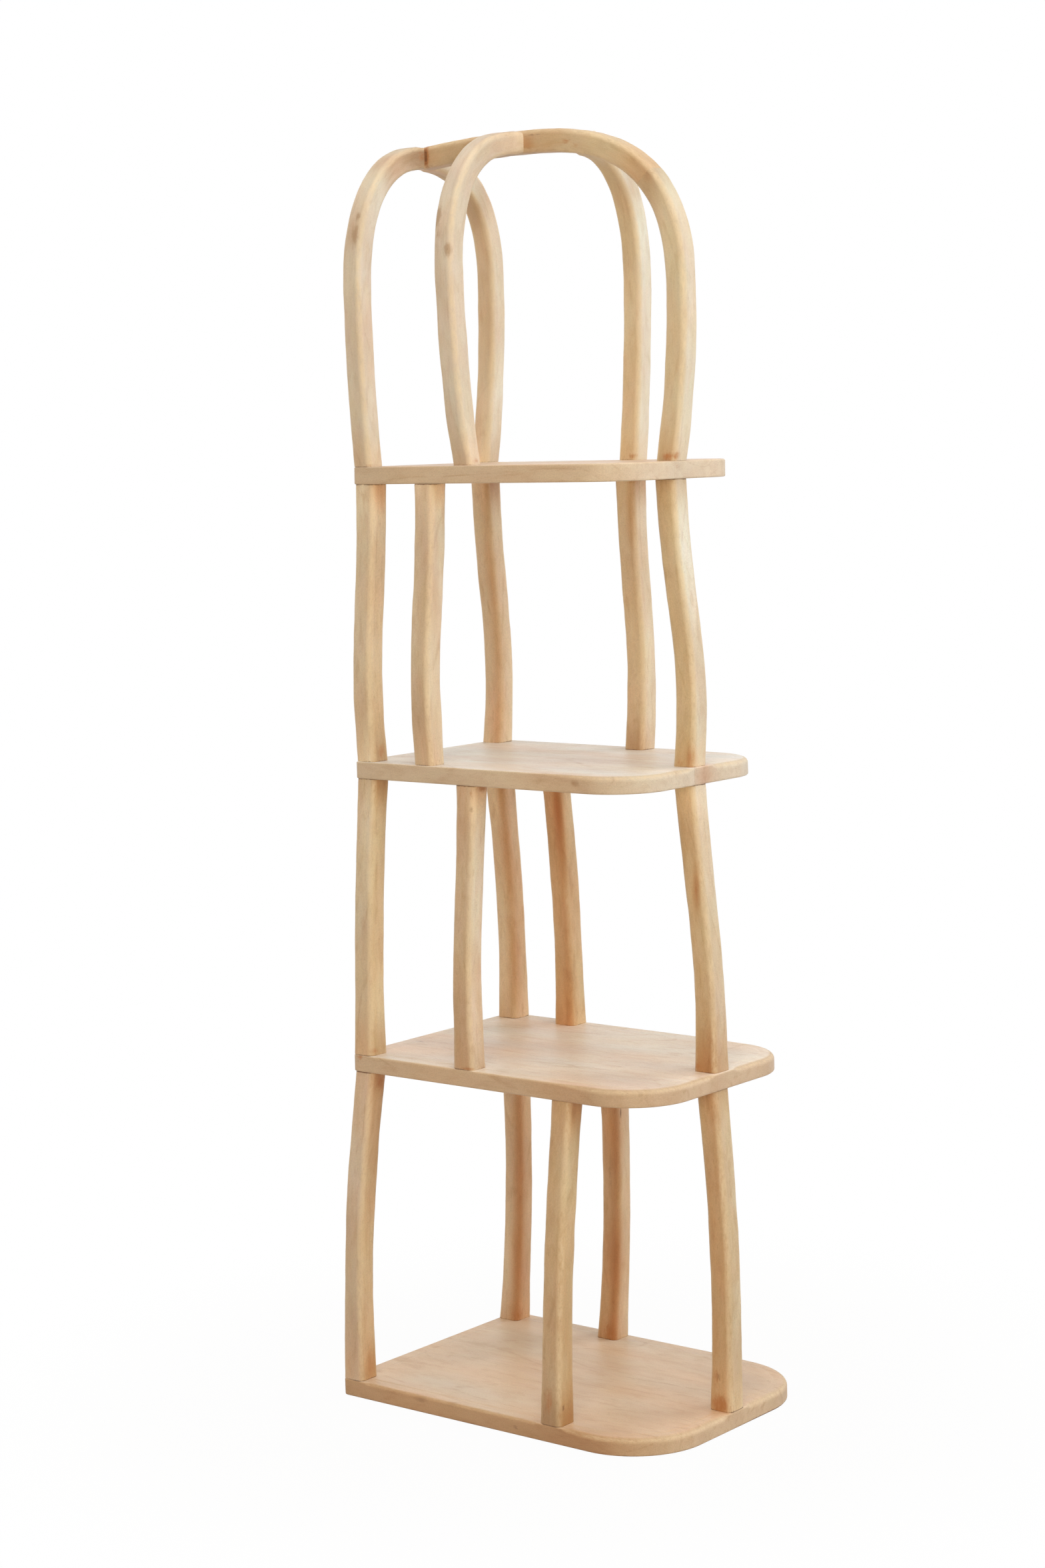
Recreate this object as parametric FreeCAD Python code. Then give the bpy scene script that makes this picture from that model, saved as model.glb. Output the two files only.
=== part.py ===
"""Tall open shelf unit in pale hardwood: four shelves on waved square posts, under an arched crown.

Millimetres, +Z up. The origin is on the floor, under the middle of the whole unit's box. The unit
faces -Y: the shelves' front corners are rounded and their back corners are square. Nothing on it
moves.
"""
import FreeCAD, Part
import math
import os
from collections import namedtuple
from FreeCAD import Vector

# Shelves: every level has its own plan, and they grow smaller upwards
shelf_thickness = 26.0
shelf_1_width = 425.0
shelf_2_width = 385.0
shelf_3_width = 350.0
shelf_4_width = 313.0
shelf_1_depth = 591.5
shelf_2_depth = 555.0
shelf_3_depth = 518.0
shelf_4_depth = 495.0
shelf_1_corner = 117.0
shelf_2_corner = 98.0
shelf_3_corner = 84.0
shelf_4_corner = 70.0
shelf_2_back_inset = 23.0
shelf_3_back_inset = 30.0
shelf_4_back_inset = 27.0
bay_1_height = 481.0
bay_2_height = 421.0
bay_3_height = 415.0

# Edge band of a shelf: rounded over at the top, grooved inside for the core board's tongue
lipping_width = 20.0
lipping_round = 8.0
tongue_depth = 7.0
tongue_thickness = 8.0
tongue_clearance = 0.1
round_stop = 4.0

# Posts: square sticks with softened corners, thicker at the foot and head. They stand flush with
# the shelves' edges but for a few that are set in a little
post_size = 35.5
post_head_size = 37.0
low_foot_size = 39.5
high_foot_size = 37.0
post_corner = 8.5
shelf_1_right_inset = 4.0
shelf_3_right_inset = 10.0
shelf_4_right_inset = 1.5
shelf_2_right_back_inset = 4.0
middle_front_inset = 3.0
shelf_4_front_inset = 1.0

# Depth places of the side posts, at the foot and at the head
left_1_foot = -107.5
left_1_head = -124.5
left_2_foot = 55.5
left_2_head = 53.5
left_3_foot = 132.0
left_3_head = 133.5
right_1_foot = 78.5
right_1_head = 50.5
right_2_foot = 133.5
right_2_head = 142.0
right_3_foot = -26.5
right_3_head = -33.0

# How far each post bows outwards, and how far it sways out below its middle and in above it
back_left_1_bow = 14.0
back_right_1_bow = 11.0
left_1_bow = 8.0
right_1_bow = 10.0
right_1_sway = 1.0
front_1_bow = 8.5
back_left_2_bow = 6.0
back_right_2_bow = 8.0
back_right_2_sway = 0.5
left_2_bow = 8.0
left_2_sway = 2.5
right_2_bow = 8.0
front_2_bow = 6.5
front_2_sway = 2.0
back_left_3_bow = 7.5
back_left_3_sway = 4.0
back_right_3_bow = 9.5
back_right_3_sway = 4.5
left_3_bow = 8.5
left_3_sway = 4.5
right_3_bow = 8.0
right_3_sway = 4.5
front_3_bow = 9.0
front_3_sway = 5.0

# Crown: heights are taken from the top shelf's upper face to the members' centre lines
arch_size = 34.0
front_arch_size = 35.5
ridge_size = 33.0
crown_corner = 8.5
crown_inset = 0.5
back_arch_rise = 460.5
back_left_bulge = 13.0
back_left_spring = 255.0
back_right_bulge = 25.0
back_right_spring = 271.0
left_arch_foot = 61.5
left_arch_head = 74.0
left_arch_bulge = 18.5
left_arch_spring = 259.0
right_arch_foot = -37.0
right_arch_head = -49.0
right_arch_bulge = 10.5
right_arch_spring = 239.0
ridge_rise = 469.5
ridge_top_place = 48.5
ridge_sag = 12.0
front_arch_bulge = 22.5
front_arch_spring = 234.0
back_left_roundness = 2.25
back_right_roundness = 2.45
side_roundness = 2.4
front_roundness = 2.67
front_seam_share = 0.46

# Pins, bores and pads
pin_radius = 5.0
crown_pin_radius = 4.0
pin_in_post = 30.0
pin_in_shelf = 11.0
pin_in_ridge = 12.0
pin_clearance = 0.1
pin_end_gap = 0.8
crown_pin_offset = 7.0
glide_radius = 14.0
glide_thickness = 2.0
glide_inset = 34.0

# How far a cutting block runs past the wood, and how near an edge is to the place it is picked by
overrun = 5.0
pick_distance = 0.1

UP = Vector(0, 0, 1)
LEFT = Vector(-1, 0, 0)
RIGHT = Vector(1, 0, 0)
FRONT = Vector(0, -1, 0)
BACK = Vector(0, 1, 0)

# Where a loft takes its sections, as shares of a member's run
POST_SHARES = (0.0, 0.12, 0.3, 0.5, 0.7, 0.88, 1.0)
LEG_SHARES = (0.0, 0.25, 0.5, 0.75)
RIDGE_SHARES = (0.33, 0.67, 1.0)
CURVE_STEP_SHARE = 0.16

Shelf = namedtuple("Shelf", "number width depth corner back base seat_insets")
Seat = namedtuple("Seat", "x y")
Insets = namedtuple("Insets", "front right right_back")
Arch = namedtuple("Arch", "outward head foot_out foot_shift bulge spring rise roundness size")


def make_shelves():
    """Gather the four levels, stacked from the pads up through the bays."""
    widths = (shelf_1_width, shelf_2_width, shelf_3_width, shelf_4_width)
    depths = (shelf_1_depth, shelf_2_depth, shelf_3_depth, shelf_4_depth)
    corners = (shelf_1_corner, shelf_2_corner, shelf_3_corner, shelf_4_corner)
    back_insets = (0, shelf_2_back_inset, shelf_3_back_inset, shelf_4_back_inset)
    seat_insets = (
        Insets(front=0, right=shelf_1_right_inset, right_back=0),
        Insets(front=middle_front_inset, right=0, right_back=shelf_2_right_back_inset),
        Insets(front=middle_front_inset, right=shelf_3_right_inset, right_back=0),
        Insets(front=shelf_4_front_inset, right=shelf_4_right_inset, right_back=0),
    )
    bays = (bay_1_height, bay_2_height, bay_3_height, 0)
    shelves = []
    base = glide_thickness
    for level in range(len(widths)):
        back = shelf_1_depth / 2 - back_insets[level]
        shelves.append(Shelf(level + 1, widths[level], depths[level], corners[level], back, base,
                             seat_insets[level]))
        base = base + shelf_thickness + bays[level]
    return shelves


def top_of(shelf):
    return shelf.base + shelf_thickness


def front_of(shelf):
    return shelf.back - shelf.depth


def plan_prism(shelf, inset, base, height):
    """Upright prism on a shelf's plan, drawn in by an inset: round at the two front corners."""
    half = shelf.width / 2 - inset
    back = shelf.back - inset
    front = front_of(shelf) + inset
    radius = shelf.corner - inset
    turn = radius * math.sqrt(0.5)
    shoulder = front + radius
    middle = half - radius
    edges = [
        Part.LineSegment(Vector(half, back, base), Vector(-half, back, base)),
        Part.LineSegment(Vector(-half, back, base), Vector(-half, shoulder, base)),
        Part.Arc(Vector(-half, shoulder, base), Vector(-middle - turn, shoulder - turn, base),
                 Vector(-middle, front, base)),
        Part.LineSegment(Vector(-middle, front, base), Vector(middle, front, base)),
        Part.Arc(Vector(middle, front, base), Vector(middle + turn, shoulder - turn, base),
                 Vector(half, shoulder, base)),
        Part.LineSegment(Vector(half, shoulder, base), Vector(half, back, base)),
    ]
    wire = Part.Wire([edge.toShape() for edge in edges])
    return Part.Face(wire).extrude(UP * height)


def middle_of(edge):
    return edge.valueAt((edge.FirstParameter + edge.LastParameter) / 2)


def block(low, high):
    return Part.makeBox(high.x - low.x, high.y - low.y, high.z - low.z, low)


def rounded_square(centre, across, along, size, corner):
    """Closed wire of a square with rounded corners, in the plane of two unit directions."""
    half = size / 2
    flat = half - corner
    turn = flat + corner * math.sqrt(0.5)
    edges = []
    u, v = across, along
    for side in range(4):
        corner_start = centre + u * half + v * flat
        corner_end = centre + u * flat + v * half
        edges.append(Part.LineSegment(centre + u * half - v * flat, corner_start).toShape())
        edges.append(Part.Arc(corner_start, centre + u * turn + v * turn, corner_end).toShape())
        u, v = v, u * -1
    return Part.Wire(edges)


class Pin:
    """A turned wooden pin from one point along a direction, and the bore that holds it."""

    def __init__(self, start, direction, length, radius):
        self.start = start
        self.direction = direction
        self.length = length
        self.radius = radius

    def solid(self):
        return Part.makeCylinder(self.radius, self.length, self.start, self.direction)

    def bore(self):
        start = self.start - self.direction * pin_end_gap
        length = self.length + 2 * pin_end_gap
        return Part.makeCylinder(self.radius + pin_clearance, length, start, self.direction)


def bored(shape, pins):
    """Cut the bores of those pins that reach into a shape."""
    near = [pin.bore() for pin in pins if pin.bore().BoundBox.intersect(shape.BoundBox)]
    return shape.cut(near) if near else shape


# Shelves

def post_seats(shelf):
    """Centres of the posts at a shelf's two back corners and at the middle of its front."""
    reach = shelf.width / 2 - low_foot_size / 2
    back = shelf.back - low_foot_size / 2
    insets = shelf.seat_insets
    return {
        "back_left": Seat(-reach, back),
        "back_right": Seat(reach - insets.right, back - insets.right_back),
        "front": Seat(0, front_of(shelf) + low_foot_size / 2 + insets.front),
    }


def side_seat(shelf, side, place):
    """Centre of a post on the left (-1) or right (1) edge, at its own place along the depth."""
    return Seat(side * (shelf.width / 2 - low_foot_size / 2), place)


def shelf_blank(shelf, seats):
    """Whole shelf, its top arris rounded over except beside the posts that stand on it."""
    plan = plan_prism(shelf, 0, shelf.base, shelf_thickness)
    middle_height = shelf.base + shelf_thickness / 2
    back_corners = [edge for edge in plan.Edges
                    if abs(middle_of(edge).y - shelf.back) < pick_distance
                    and abs(middle_of(edge).z - middle_height) < pick_distance]
    plain = plan.makeFillet(post_corner, back_corners)
    top = top_of(shelf)
    top_edges = [edge for edge in plain.Edges if abs(middle_of(edge).z - top) < pick_distance]
    rounded = plain.makeFillet(lipping_round, top_edges)
    reach = low_foot_size / 2 + round_stop
    for seat in seats:
        low = Vector(seat.x - reach, seat.y - reach, shelf.base)
        high = Vector(seat.x + reach, seat.y + reach, top)
        rounded = rounded.fuse(plain.common(block(low, high)))
    return rounded.removeSplitter()


def shelf_pieces(shelf, seats, pins):
    """Core board with its tongue, and the three strips of edge band that close round it."""
    blank = shelf_blank(shelf, seats)
    tongue_base = shelf.base + (shelf_thickness - tongue_thickness) / 2
    core = plan_prism(shelf, lipping_width, shelf.base, shelf_thickness)
    tongue = plan_prism(shelf, lipping_width - tongue_depth, tongue_base, tongue_thickness)
    groove_inset = lipping_width - tongue_depth - tongue_clearance
    groove_base = tongue_base - tongue_clearance
    groove = plan_prism(shelf, groove_inset, groove_base, tongue_thickness + 2 * tongue_clearance)
    ring = blank.cut(core).cut(groove)
    half = shelf.width / 2
    seam = -low_foot_size / 2
    inner = half - lipping_width
    low = shelf.base - overrun
    high = top_of(shelf) + overrun
    behind = block(Vector(-inner, shelf.back - lipping_width, low),
                   Vector(inner, shelf.back + overrun, high))
    left_side = block(Vector(-half - overrun, front_of(shelf) - overrun, low),
                      Vector(seam, shelf.back + overrun, high))
    name = "shelf_%d_" % shelf.number
    pieces = {
        name + "panel": core.fuse(tongue).removeSplitter(),
        name + "lipping_back": ring.common(behind),
        name + "lipping_left": ring.common(left_side).cut(behind),
        name + "lipping_right": ring.cut(left_side).cut(behind),
    }
    return {key: bored(piece, pins) for key, piece in pieces.items()}


# Posts

def make_post(foot, head, base, top, foot_size, outward, bow, sway):
    """Waved post between two seats, from one shelf's top to the underside of the next."""
    sections = []
    for share in POST_SHARES:
        wave = bow * math.sin(math.pi * share) + sway * math.sin(2 * math.pi * share)
        x = foot.x + (head.x - foot.x) * share
        y = foot.y + (head.y - foot.y) * share
        z = base + (top - base) * share
        end_size = foot_size if share < 0.5 else post_head_size
        size = post_size + (end_size - post_size) * abs(2 * share - 1) ** 3
        centre = Vector(x, y, z) + outward * wave
        sections.append(rounded_square(centre, RIGHT, BACK, size, post_corner))
    return Part.makeLoft(sections, True, False)


OUTWARDS = {"back_left": LEFT, "left": LEFT, "back_right": RIGHT, "right": RIGHT, "front": FRONT}


def bay_waves():
    """For each bay, the bow and sway of each post."""
    return (
        {
            "back_left": (back_left_1_bow, 0),
            "back_right": (back_right_1_bow, 0),
            "left": (left_1_bow, 0),
            "right": (right_1_bow, right_1_sway),
            "front": (front_1_bow, 0),
        },
        {
            "back_left": (back_left_2_bow, 0),
            "back_right": (back_right_2_bow, back_right_2_sway),
            "left": (left_2_bow, left_2_sway),
            "right": (right_2_bow, 0),
            "front": (front_2_bow, front_2_sway),
        },
        {
            "back_left": (back_left_3_bow, back_left_3_sway),
            "back_right": (back_right_3_bow, back_right_3_sway),
            "left": (left_3_bow, left_3_sway),
            "right": (right_3_bow, right_3_sway),
            "front": (front_3_bow, front_3_sway),
        },
    )


def bay_seats(shelves):
    """For each bay, the seats of the posts' feet on the shelf below and heads under the one above."""
    places = (
        (left_1_foot, right_1_foot, left_1_head, right_1_head),
        (left_2_foot, right_2_foot, left_2_head, right_2_head),
        (left_3_foot, right_3_foot, left_3_head, right_3_head),
    )
    bays = []
    for bay, (left_foot, right_foot, left_head, right_head) in enumerate(places):
        below, above = shelves[bay], shelves[bay + 1]
        feet = post_seats(below)
        feet["left"] = side_seat(below, -1, left_foot)
        feet["right"] = side_seat(below, 1, right_foot)
        heads = post_seats(above)
        heads["left"] = side_seat(above, -1, left_head)
        heads["right"] = side_seat(above, 1, right_head)
        bays.append((feet, heads))
    return bays


def make_posts(shelves, pins):
    posts = {}
    bays = bay_seats(shelves)
    foot_sizes = (low_foot_size, low_foot_size, high_foot_size)
    for bay, waves in enumerate(bay_waves()):
        feet, heads = bays[bay]
        base = top_of(shelves[bay])
        top = shelves[bay + 1].base
        for kind, (bow, sway) in waves.items():
            post = make_post(feet[kind], heads[kind], base, top, foot_sizes[bay], OUTWARDS[kind],
                             bow, sway)
            posts["post_%s_%d" % (kind, bay + 1)] = bored(post, pins)
    return posts


# Crown

def back_arch_place(shelf):
    return shelf.back - arch_size / 2 - crown_inset


def front_arch_place(shelf):
    return front_of(shelf) + front_arch_size / 2 + shelf.seat_insets.front


def side_reach(shelf):
    return shelf.width / 2 - arch_size / 2 - crown_inset


def crown_feet(shelf):
    """Centres of the side arches' feet on the top shelf."""
    reach = side_reach(shelf)
    return {"left": Seat(-reach, left_arch_foot), "right": Seat(reach, right_arch_foot)}


def curve_point(arch, turned):
    """Distance out, height and unit outward normal at a share of the turn over an arch's spring."""
    span = arch.foot_out + arch.bulge
    climb = arch.rise - arch.spring
    angle = turned * math.pi / 2
    level, steep = max(math.cos(angle), 0), math.sin(angle)
    reach = (level ** arch.roundness + steep ** arch.roundness) ** (-1 / arch.roundness)
    across, upward = reach * level, reach * steep
    normal_out = across ** (arch.roundness - 1) / span
    normal_up = upward ** (arch.roundness - 1) / climb
    length = math.hypot(normal_out, normal_up)
    return span * across, arch.spring + climb * upward, normal_out / length, normal_up / length


def arch_section(arch, base, out, up, normal, size):
    """Section of an arch's member at a distance out from its crown and a height up."""
    aside = UP.cross(arch.outward)
    fade = 1 - up / arch.rise
    centre = arch.head + arch.outward * out + arch.foot_shift * fade + UP * (base + up)
    return rounded_square(centre, normal, aside, size, crown_corner)


def leg_sections(arch, base):
    """Level sections from the foot up to the spring, bulging out on the way."""
    sections = []
    for share in LEG_SHARES:
        out = arch.foot_out + arch.bulge * (1 - (1 - share) ** 2)
        up = arch.spring * share
        sections.append(arch_section(arch, base, out, up, arch.outward, arch.size))
    return sections


def curve_sections(arch, base, first, last, end_size):
    """Sections square to the curve, evenly spaced between two shares of its quarter turn."""
    sections = []
    steps = round((last - first) / CURVE_STEP_SHARE)
    for step in range(steps + 1):
        turned = first + (last - first) * step / steps
        size = arch.size + (end_size - arch.size) * step / steps
        out, up, normal_out, normal_up = curve_point(arch, turned)
        normal = arch.outward * normal_out + UP * normal_up
        sections.append(arch_section(arch, base, out, up, normal, size))
    return sections


def back_arch(shelf, outward, bulge, spring, roundness):
    head = Vector(0, back_arch_place(shelf), 0)
    return Arch(outward, head, side_reach(shelf), Vector(), bulge, spring, back_arch_rise, roundness,
                arch_size)


def side_arch(shelf, outward, foot_place, head_place, bulge, spring):
    """Arch from a side of the top shelf, whose head comes in flush with the top of the ridge."""
    head = Vector(0, head_place, 0)
    shift = Vector(0, foot_place - head_place, 0)
    rise = ridge_height(shelf, head_place) + (ridge_size - arch_size) / 2
    return Arch(outward, head, side_reach(shelf), shift, bulge, spring, rise, side_roundness, arch_size)


def front_arch(shelf):
    head = Vector(0, ridge_top_place, 0)
    foot_out = ridge_top_place - front_arch_place(shelf)
    return Arch(FRONT, head, foot_out, Vector(), front_arch_bulge, front_arch_spring, ridge_rise,
                front_roundness, front_arch_size)


def ridge_height(shelf, place):
    """Height of the ridge's centre line over the top shelf, at a place along the depth."""
    if place > ridge_top_place:
        run = back_arch_place(shelf) - ridge_top_place
        return ridge_rise - ridge_sag * ((place - ridge_top_place) / run) ** 2
    span = ridge_top_place - front_arch_place(shelf) + front_arch_bulge
    level = 1 - ((ridge_top_place - place) / span) ** front_roundness
    climb = ridge_rise - front_arch_spring
    return front_arch_spring + climb * level ** (1 / front_roundness)


def make_ridge(shelf, base):
    """Rail from the seam in the front arch, over the top and back to the back arch."""
    arch = front_arch(shelf)
    sections = curve_sections(arch, base, front_seam_share, 1, ridge_size)
    end = back_arch_place(shelf) - arch_size / 2
    for share in RIDGE_SHARES:
        place = ridge_top_place + (end - ridge_top_place) * share
        centre = Vector(0, place, base + ridge_height(shelf, place))
        sections.append(rounded_square(centre, UP, RIGHT, ridge_size, crown_corner))
    return Part.makeLoft(sections, True, False)


def make_crown(shelf, pins):
    """Two arches from the sides, one from the back, and the front arch that runs into the ridge."""
    base = top_of(shelf)
    front = front_arch(shelf)
    ridge = make_ridge(shelf, base)
    legs = {
        "back_arch_left": back_arch(shelf, LEFT, back_left_bulge, back_left_spring,
                                    back_left_roundness),
        "back_arch_right": back_arch(shelf, RIGHT, back_right_bulge, back_right_spring,
                                     back_right_roundness),
        "side_arch_left": side_arch(shelf, LEFT, left_arch_foot, left_arch_head, left_arch_bulge,
                                    left_arch_spring),
        "side_arch_right": side_arch(shelf, RIGHT, right_arch_foot, right_arch_head,
                                     right_arch_bulge, right_arch_spring),
    }
    pieces = {}
    for name, arch in legs.items():
        sections = leg_sections(arch, base) + curve_sections(arch, base, 0, 1, arch.size)
        pieces[name] = Part.makeLoft(sections, True, False)
    flat = ridge_size / 2 - crown_corner
    over_ridge = block(Vector(-flat, front_of(shelf), base),
                       Vector(flat, shelf.back, base + ridge_rise + ridge_size))
    for name in ("side_arch_left", "side_arch_right"):
        pieces[name] = pieces[name].cut(ridge).cut(over_ridge)
    front_curve = curve_sections(front, base, 0, front_seam_share, front.size)
    pieces["front_arch"] = Part.makeLoft(leg_sections(front, base) + front_curve, True, False)
    pieces["ridge_rail"] = ridge
    return {name: bored(piece, pins) for name, piece in pieces.items()}


# Pins

def through_pin(seat, shelf, reach_down, reach_up):
    """Upright pin through a shelf at a seat, reaching into the posts below and above it."""
    start = Vector(seat.x, seat.y, shelf.base - reach_down)
    return Pin(start, UP, reach_down + shelf_thickness + reach_up, pin_radius)


def foot_pin(seat, shelf):
    start = Vector(seat.x, seat.y, top_of(shelf) - pin_in_shelf)
    return Pin(start, UP, pin_in_shelf + pin_in_post, pin_radius)


def head_pin(seat, shelf):
    start = Vector(seat.x, seat.y, shelf.base - pin_in_post)
    return Pin(start, UP, pin_in_post + pin_in_shelf, pin_radius)


def shelf_pins(shelves):
    """For each shelf, the pins that hold the posts under it and on it."""
    bays = bay_seats(shelves)
    groups = []
    for level, shelf in enumerate(shelves):
        below = bays[level - 1][1] if level > 0 else {}
        above = bays[level][0] if level < len(bays) else crown_feet(shelf)
        pins = []
        for kind, seat in post_seats(shelf).items():
            if level > 0:
                pins.append(through_pin(seat, shelf, pin_in_post, pin_in_post))
            else:
                pins.append(foot_pin(seat, shelf))
        for kind in ("left", "right"):
            pins.append(foot_pin(above[kind], shelf))
            if level > 0:
                pins.append(head_pin(below[kind], shelf))
        groups.append(pins)
    return groups


def crown_pins(shelf):
    """Pins of the crown: back apex, ridge to back arch, both side arches and the front seam."""
    base = top_of(shelf)
    back = back_arch_place(shelf)
    apex = base + back_arch_rise
    side = arch_size / 2
    pins = [
        Pin(Vector(-side, back, apex + crown_pin_offset), RIGHT, arch_size, crown_pin_radius),
        Pin(Vector(0, back + side / 2, apex - crown_pin_offset), FRONT, arch_size, crown_pin_radius),
    ]
    for direction, place in ((LEFT, left_arch_head), (RIGHT, right_arch_head)):
        height = base + ridge_height(shelf, place)
        start = Vector(0, place, height) + direction * (side - pin_in_ridge)
        pins.append(Pin(start, direction, pin_in_ridge + side, crown_pin_radius))
    arch = front_arch(shelf)
    out, up, normal_out, normal_up = curve_point(arch, front_seam_share)
    along = FRONT * normal_up - UP * normal_out
    seam = arch.head + FRONT * out + UP * (base + up)
    pins.append(Pin(seam - along * side, along, arch_size, crown_pin_radius))
    return pins


def make_glides(shelf):
    """Thin felt pads under the bottom shelf, set in from its edges."""
    reach = shelf.width / 2 - glide_inset
    back = shelf.back - glide_inset
    front = front_of(shelf)
    shoulder = front + shelf.corner
    places = ((-reach, back), (reach, back), (-reach, shoulder), (reach, shoulder),
              (0, front + glide_inset))
    pads = [Part.makeCylinder(glide_radius, glide_thickness, Vector(x, y, 0)) for x, y in places]
    return Part.makeCompound(pads)


def centred(pieces):
    """Shift all pieces together, until the middle of the box round them is over the origin."""
    middle = Part.makeCompound(list(pieces.values())).optimalBoundingBox().Center
    shift = Vector(-middle.x, -middle.y, 0)
    return {name: piece.translated(shift) for name, piece in pieces.items()}


def make_unit():
    shelves = make_shelves()
    top_shelf = shelves[-1]
    bays = bay_seats(shelves)
    pin_groups = shelf_pins(shelves)
    top_pins = crown_pins(top_shelf)
    pieces = {}
    for level, shelf in enumerate(shelves):
        above = bays[level][0] if level < len(bays) else crown_feet(shelf)
        seats = list(post_seats(shelf).values()) + [above["left"], above["right"]]
        pieces.update(shelf_pieces(shelf, seats, pin_groups[level]))
    all_shelf_pins = [pin for group in pin_groups for pin in group]
    pieces.update(make_posts(shelves, all_shelf_pins))
    pieces.update(make_crown(top_shelf, pin_groups[-1] + top_pins))
    for level, group in enumerate(pin_groups):
        pieces["dowels_shelf_%d" % (level + 1)] = Part.makeCompound([pin.solid() for pin in group])
    pieces["dowels_crown"] = Part.makeCompound([pin.solid() for pin in top_pins])
    pieces["glides"] = make_glides(shelves[0])
    return centred(pieces)


def main():
    os.makedirs("parts", exist_ok=True)
    for name, shape in make_unit().items():
        shape.exportStep("parts/%s.step" % name)


main()
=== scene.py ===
"""Looks of a tall open shelf unit in pale hardwood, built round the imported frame.

Metres, +Z up, in the model's own frame. Sizes in the tables are millimetres, in a frame whose
origin is under the middle of the bottom shelf.
"""
import math
from collections import namedtuple

import bpy
import numpy as np
from mathutils import Matrix, Vector, noise
from mathutils.geometry import delaunay_2d_cdt


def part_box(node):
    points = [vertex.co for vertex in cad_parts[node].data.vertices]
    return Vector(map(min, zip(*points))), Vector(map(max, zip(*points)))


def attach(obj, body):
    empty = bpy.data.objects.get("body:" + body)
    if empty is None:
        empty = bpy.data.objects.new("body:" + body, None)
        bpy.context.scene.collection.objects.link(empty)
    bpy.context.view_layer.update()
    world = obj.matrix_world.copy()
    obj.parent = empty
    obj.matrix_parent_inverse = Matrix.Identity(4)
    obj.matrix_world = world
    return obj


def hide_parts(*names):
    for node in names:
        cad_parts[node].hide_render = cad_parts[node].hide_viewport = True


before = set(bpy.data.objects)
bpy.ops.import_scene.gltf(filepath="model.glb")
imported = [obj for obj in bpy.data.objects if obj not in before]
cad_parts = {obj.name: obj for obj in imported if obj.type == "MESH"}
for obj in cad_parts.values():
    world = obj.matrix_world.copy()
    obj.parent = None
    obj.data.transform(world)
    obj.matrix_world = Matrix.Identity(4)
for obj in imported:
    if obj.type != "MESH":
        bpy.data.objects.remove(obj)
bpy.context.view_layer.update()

MM = 0.001

# The middle of the bottom shelf in the row frame, in millimetres
panel_low, panel_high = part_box("shelf_1_panel")
ORIGIN = np.array((panel_low + panel_high) / (2 * MM))
ORIGIN[2] = 0

# Shelves
THICKNESS = 26.0
LIPPING = 20.0
BACK_CORNER = 8.5
Shelf = namedtuple("Shelf", "number width depth corner back base front_inset right_inset right_back")
SHELVES = (
    Shelf(1, 425.0, 591.5, 117.0, 295.75, 2.0, 0.0, 4.0, 0.0),
    Shelf(2, 385.0, 555.0, 98.0, 272.75, 509.0, 3.0, 0.0, 4.0),
    Shelf(3, 350.0, 518.0, 84.0, 265.75, 956.0, 3.0, 10.0, 0.0),
    Shelf(4, 313.0, 495.0, 70.0, 268.75, 1397.0, 1.0, 1.5, 0.0),
)
TOP_SHELF = SHELVES[-1]

# Posts: size at the middle, foot and head, and how far each bows and sways
POST_SIZE = 35.5
HEAD_SIZE = 37.0
FOOT_SIZES = (39.5, 39.5, 37.0)
SEAT_SIZE = 39.5
SWELL_POWER = 3
ARRIS = 8.5
WAVES = (
    {"back_left": (14.0, 0), "back_right": (11.0, 0), "left": (8.0, 0), "right": (10.0, 1.0),
     "front": (8.5, 0)},
    {"back_left": (6.0, 0), "back_right": (8.0, 0.5), "left": (8.0, 2.5), "right": (8.0, 0),
     "front": (6.5, 2.0)},
    {"back_left": (7.5, 4.0), "back_right": (9.5, 4.5), "left": (8.5, 4.5), "right": (8.0, 4.5),
     "front": (9.0, 5.0)},
)

# Places of the side posts' feet and heads along the depth, and last those of the side arches
SIDE_PLACES = (
    {"left": (-107.5, -124.5), "right": (78.5, 50.5)},
    {"left": (55.5, 53.5), "right": (133.5, 142.0)},
    {"left": (132.0, 133.5), "right": (-26.5, -33.0)},
    {"left": (61.5, 74.0), "right": (-37.0, -49.0)},
)

# Crown
ARCH_SIZE = 34.0
FRONT_ARCH_SIZE = 35.5
RIDGE_SIZE = 33.0
CROWN_INSET = 0.5
BACK_RISE = 460.5
RIDGE_RISE = 469.5
RIDGE_TOP = 48.5
RIDGE_SAG = 12.0
FRONT_BULGE = 22.5
FRONT_SPRING = 234.0
FRONT_ROUNDNESS = 2.67
SEAM_SHARE = 0.46

# Meshes
RING_STEP = 4.0
END_RINGS = (0.0, 0.5, 1.4, 2.6)
CORNER_STEPS = 6
SIDE_STEPS = 4
POST_STEPS = 200
LEG_STEPS = 80
ARC_STEPS = 120
SHARP_ANGLE = math.radians(50)

LEFT = np.array((-1.0, 0, 0))
RIGHT = np.array((1.0, 0, 0))
FRONT = np.array((0, -1.0, 0))
BACK = np.array((0, 1.0, 0))
UP = np.array((0, 0, 1.0))
OUTWARDS = {"back_left": LEFT, "left": LEFT, "back_right": RIGHT, "right": RIGHT, "front": FRONT}

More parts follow.
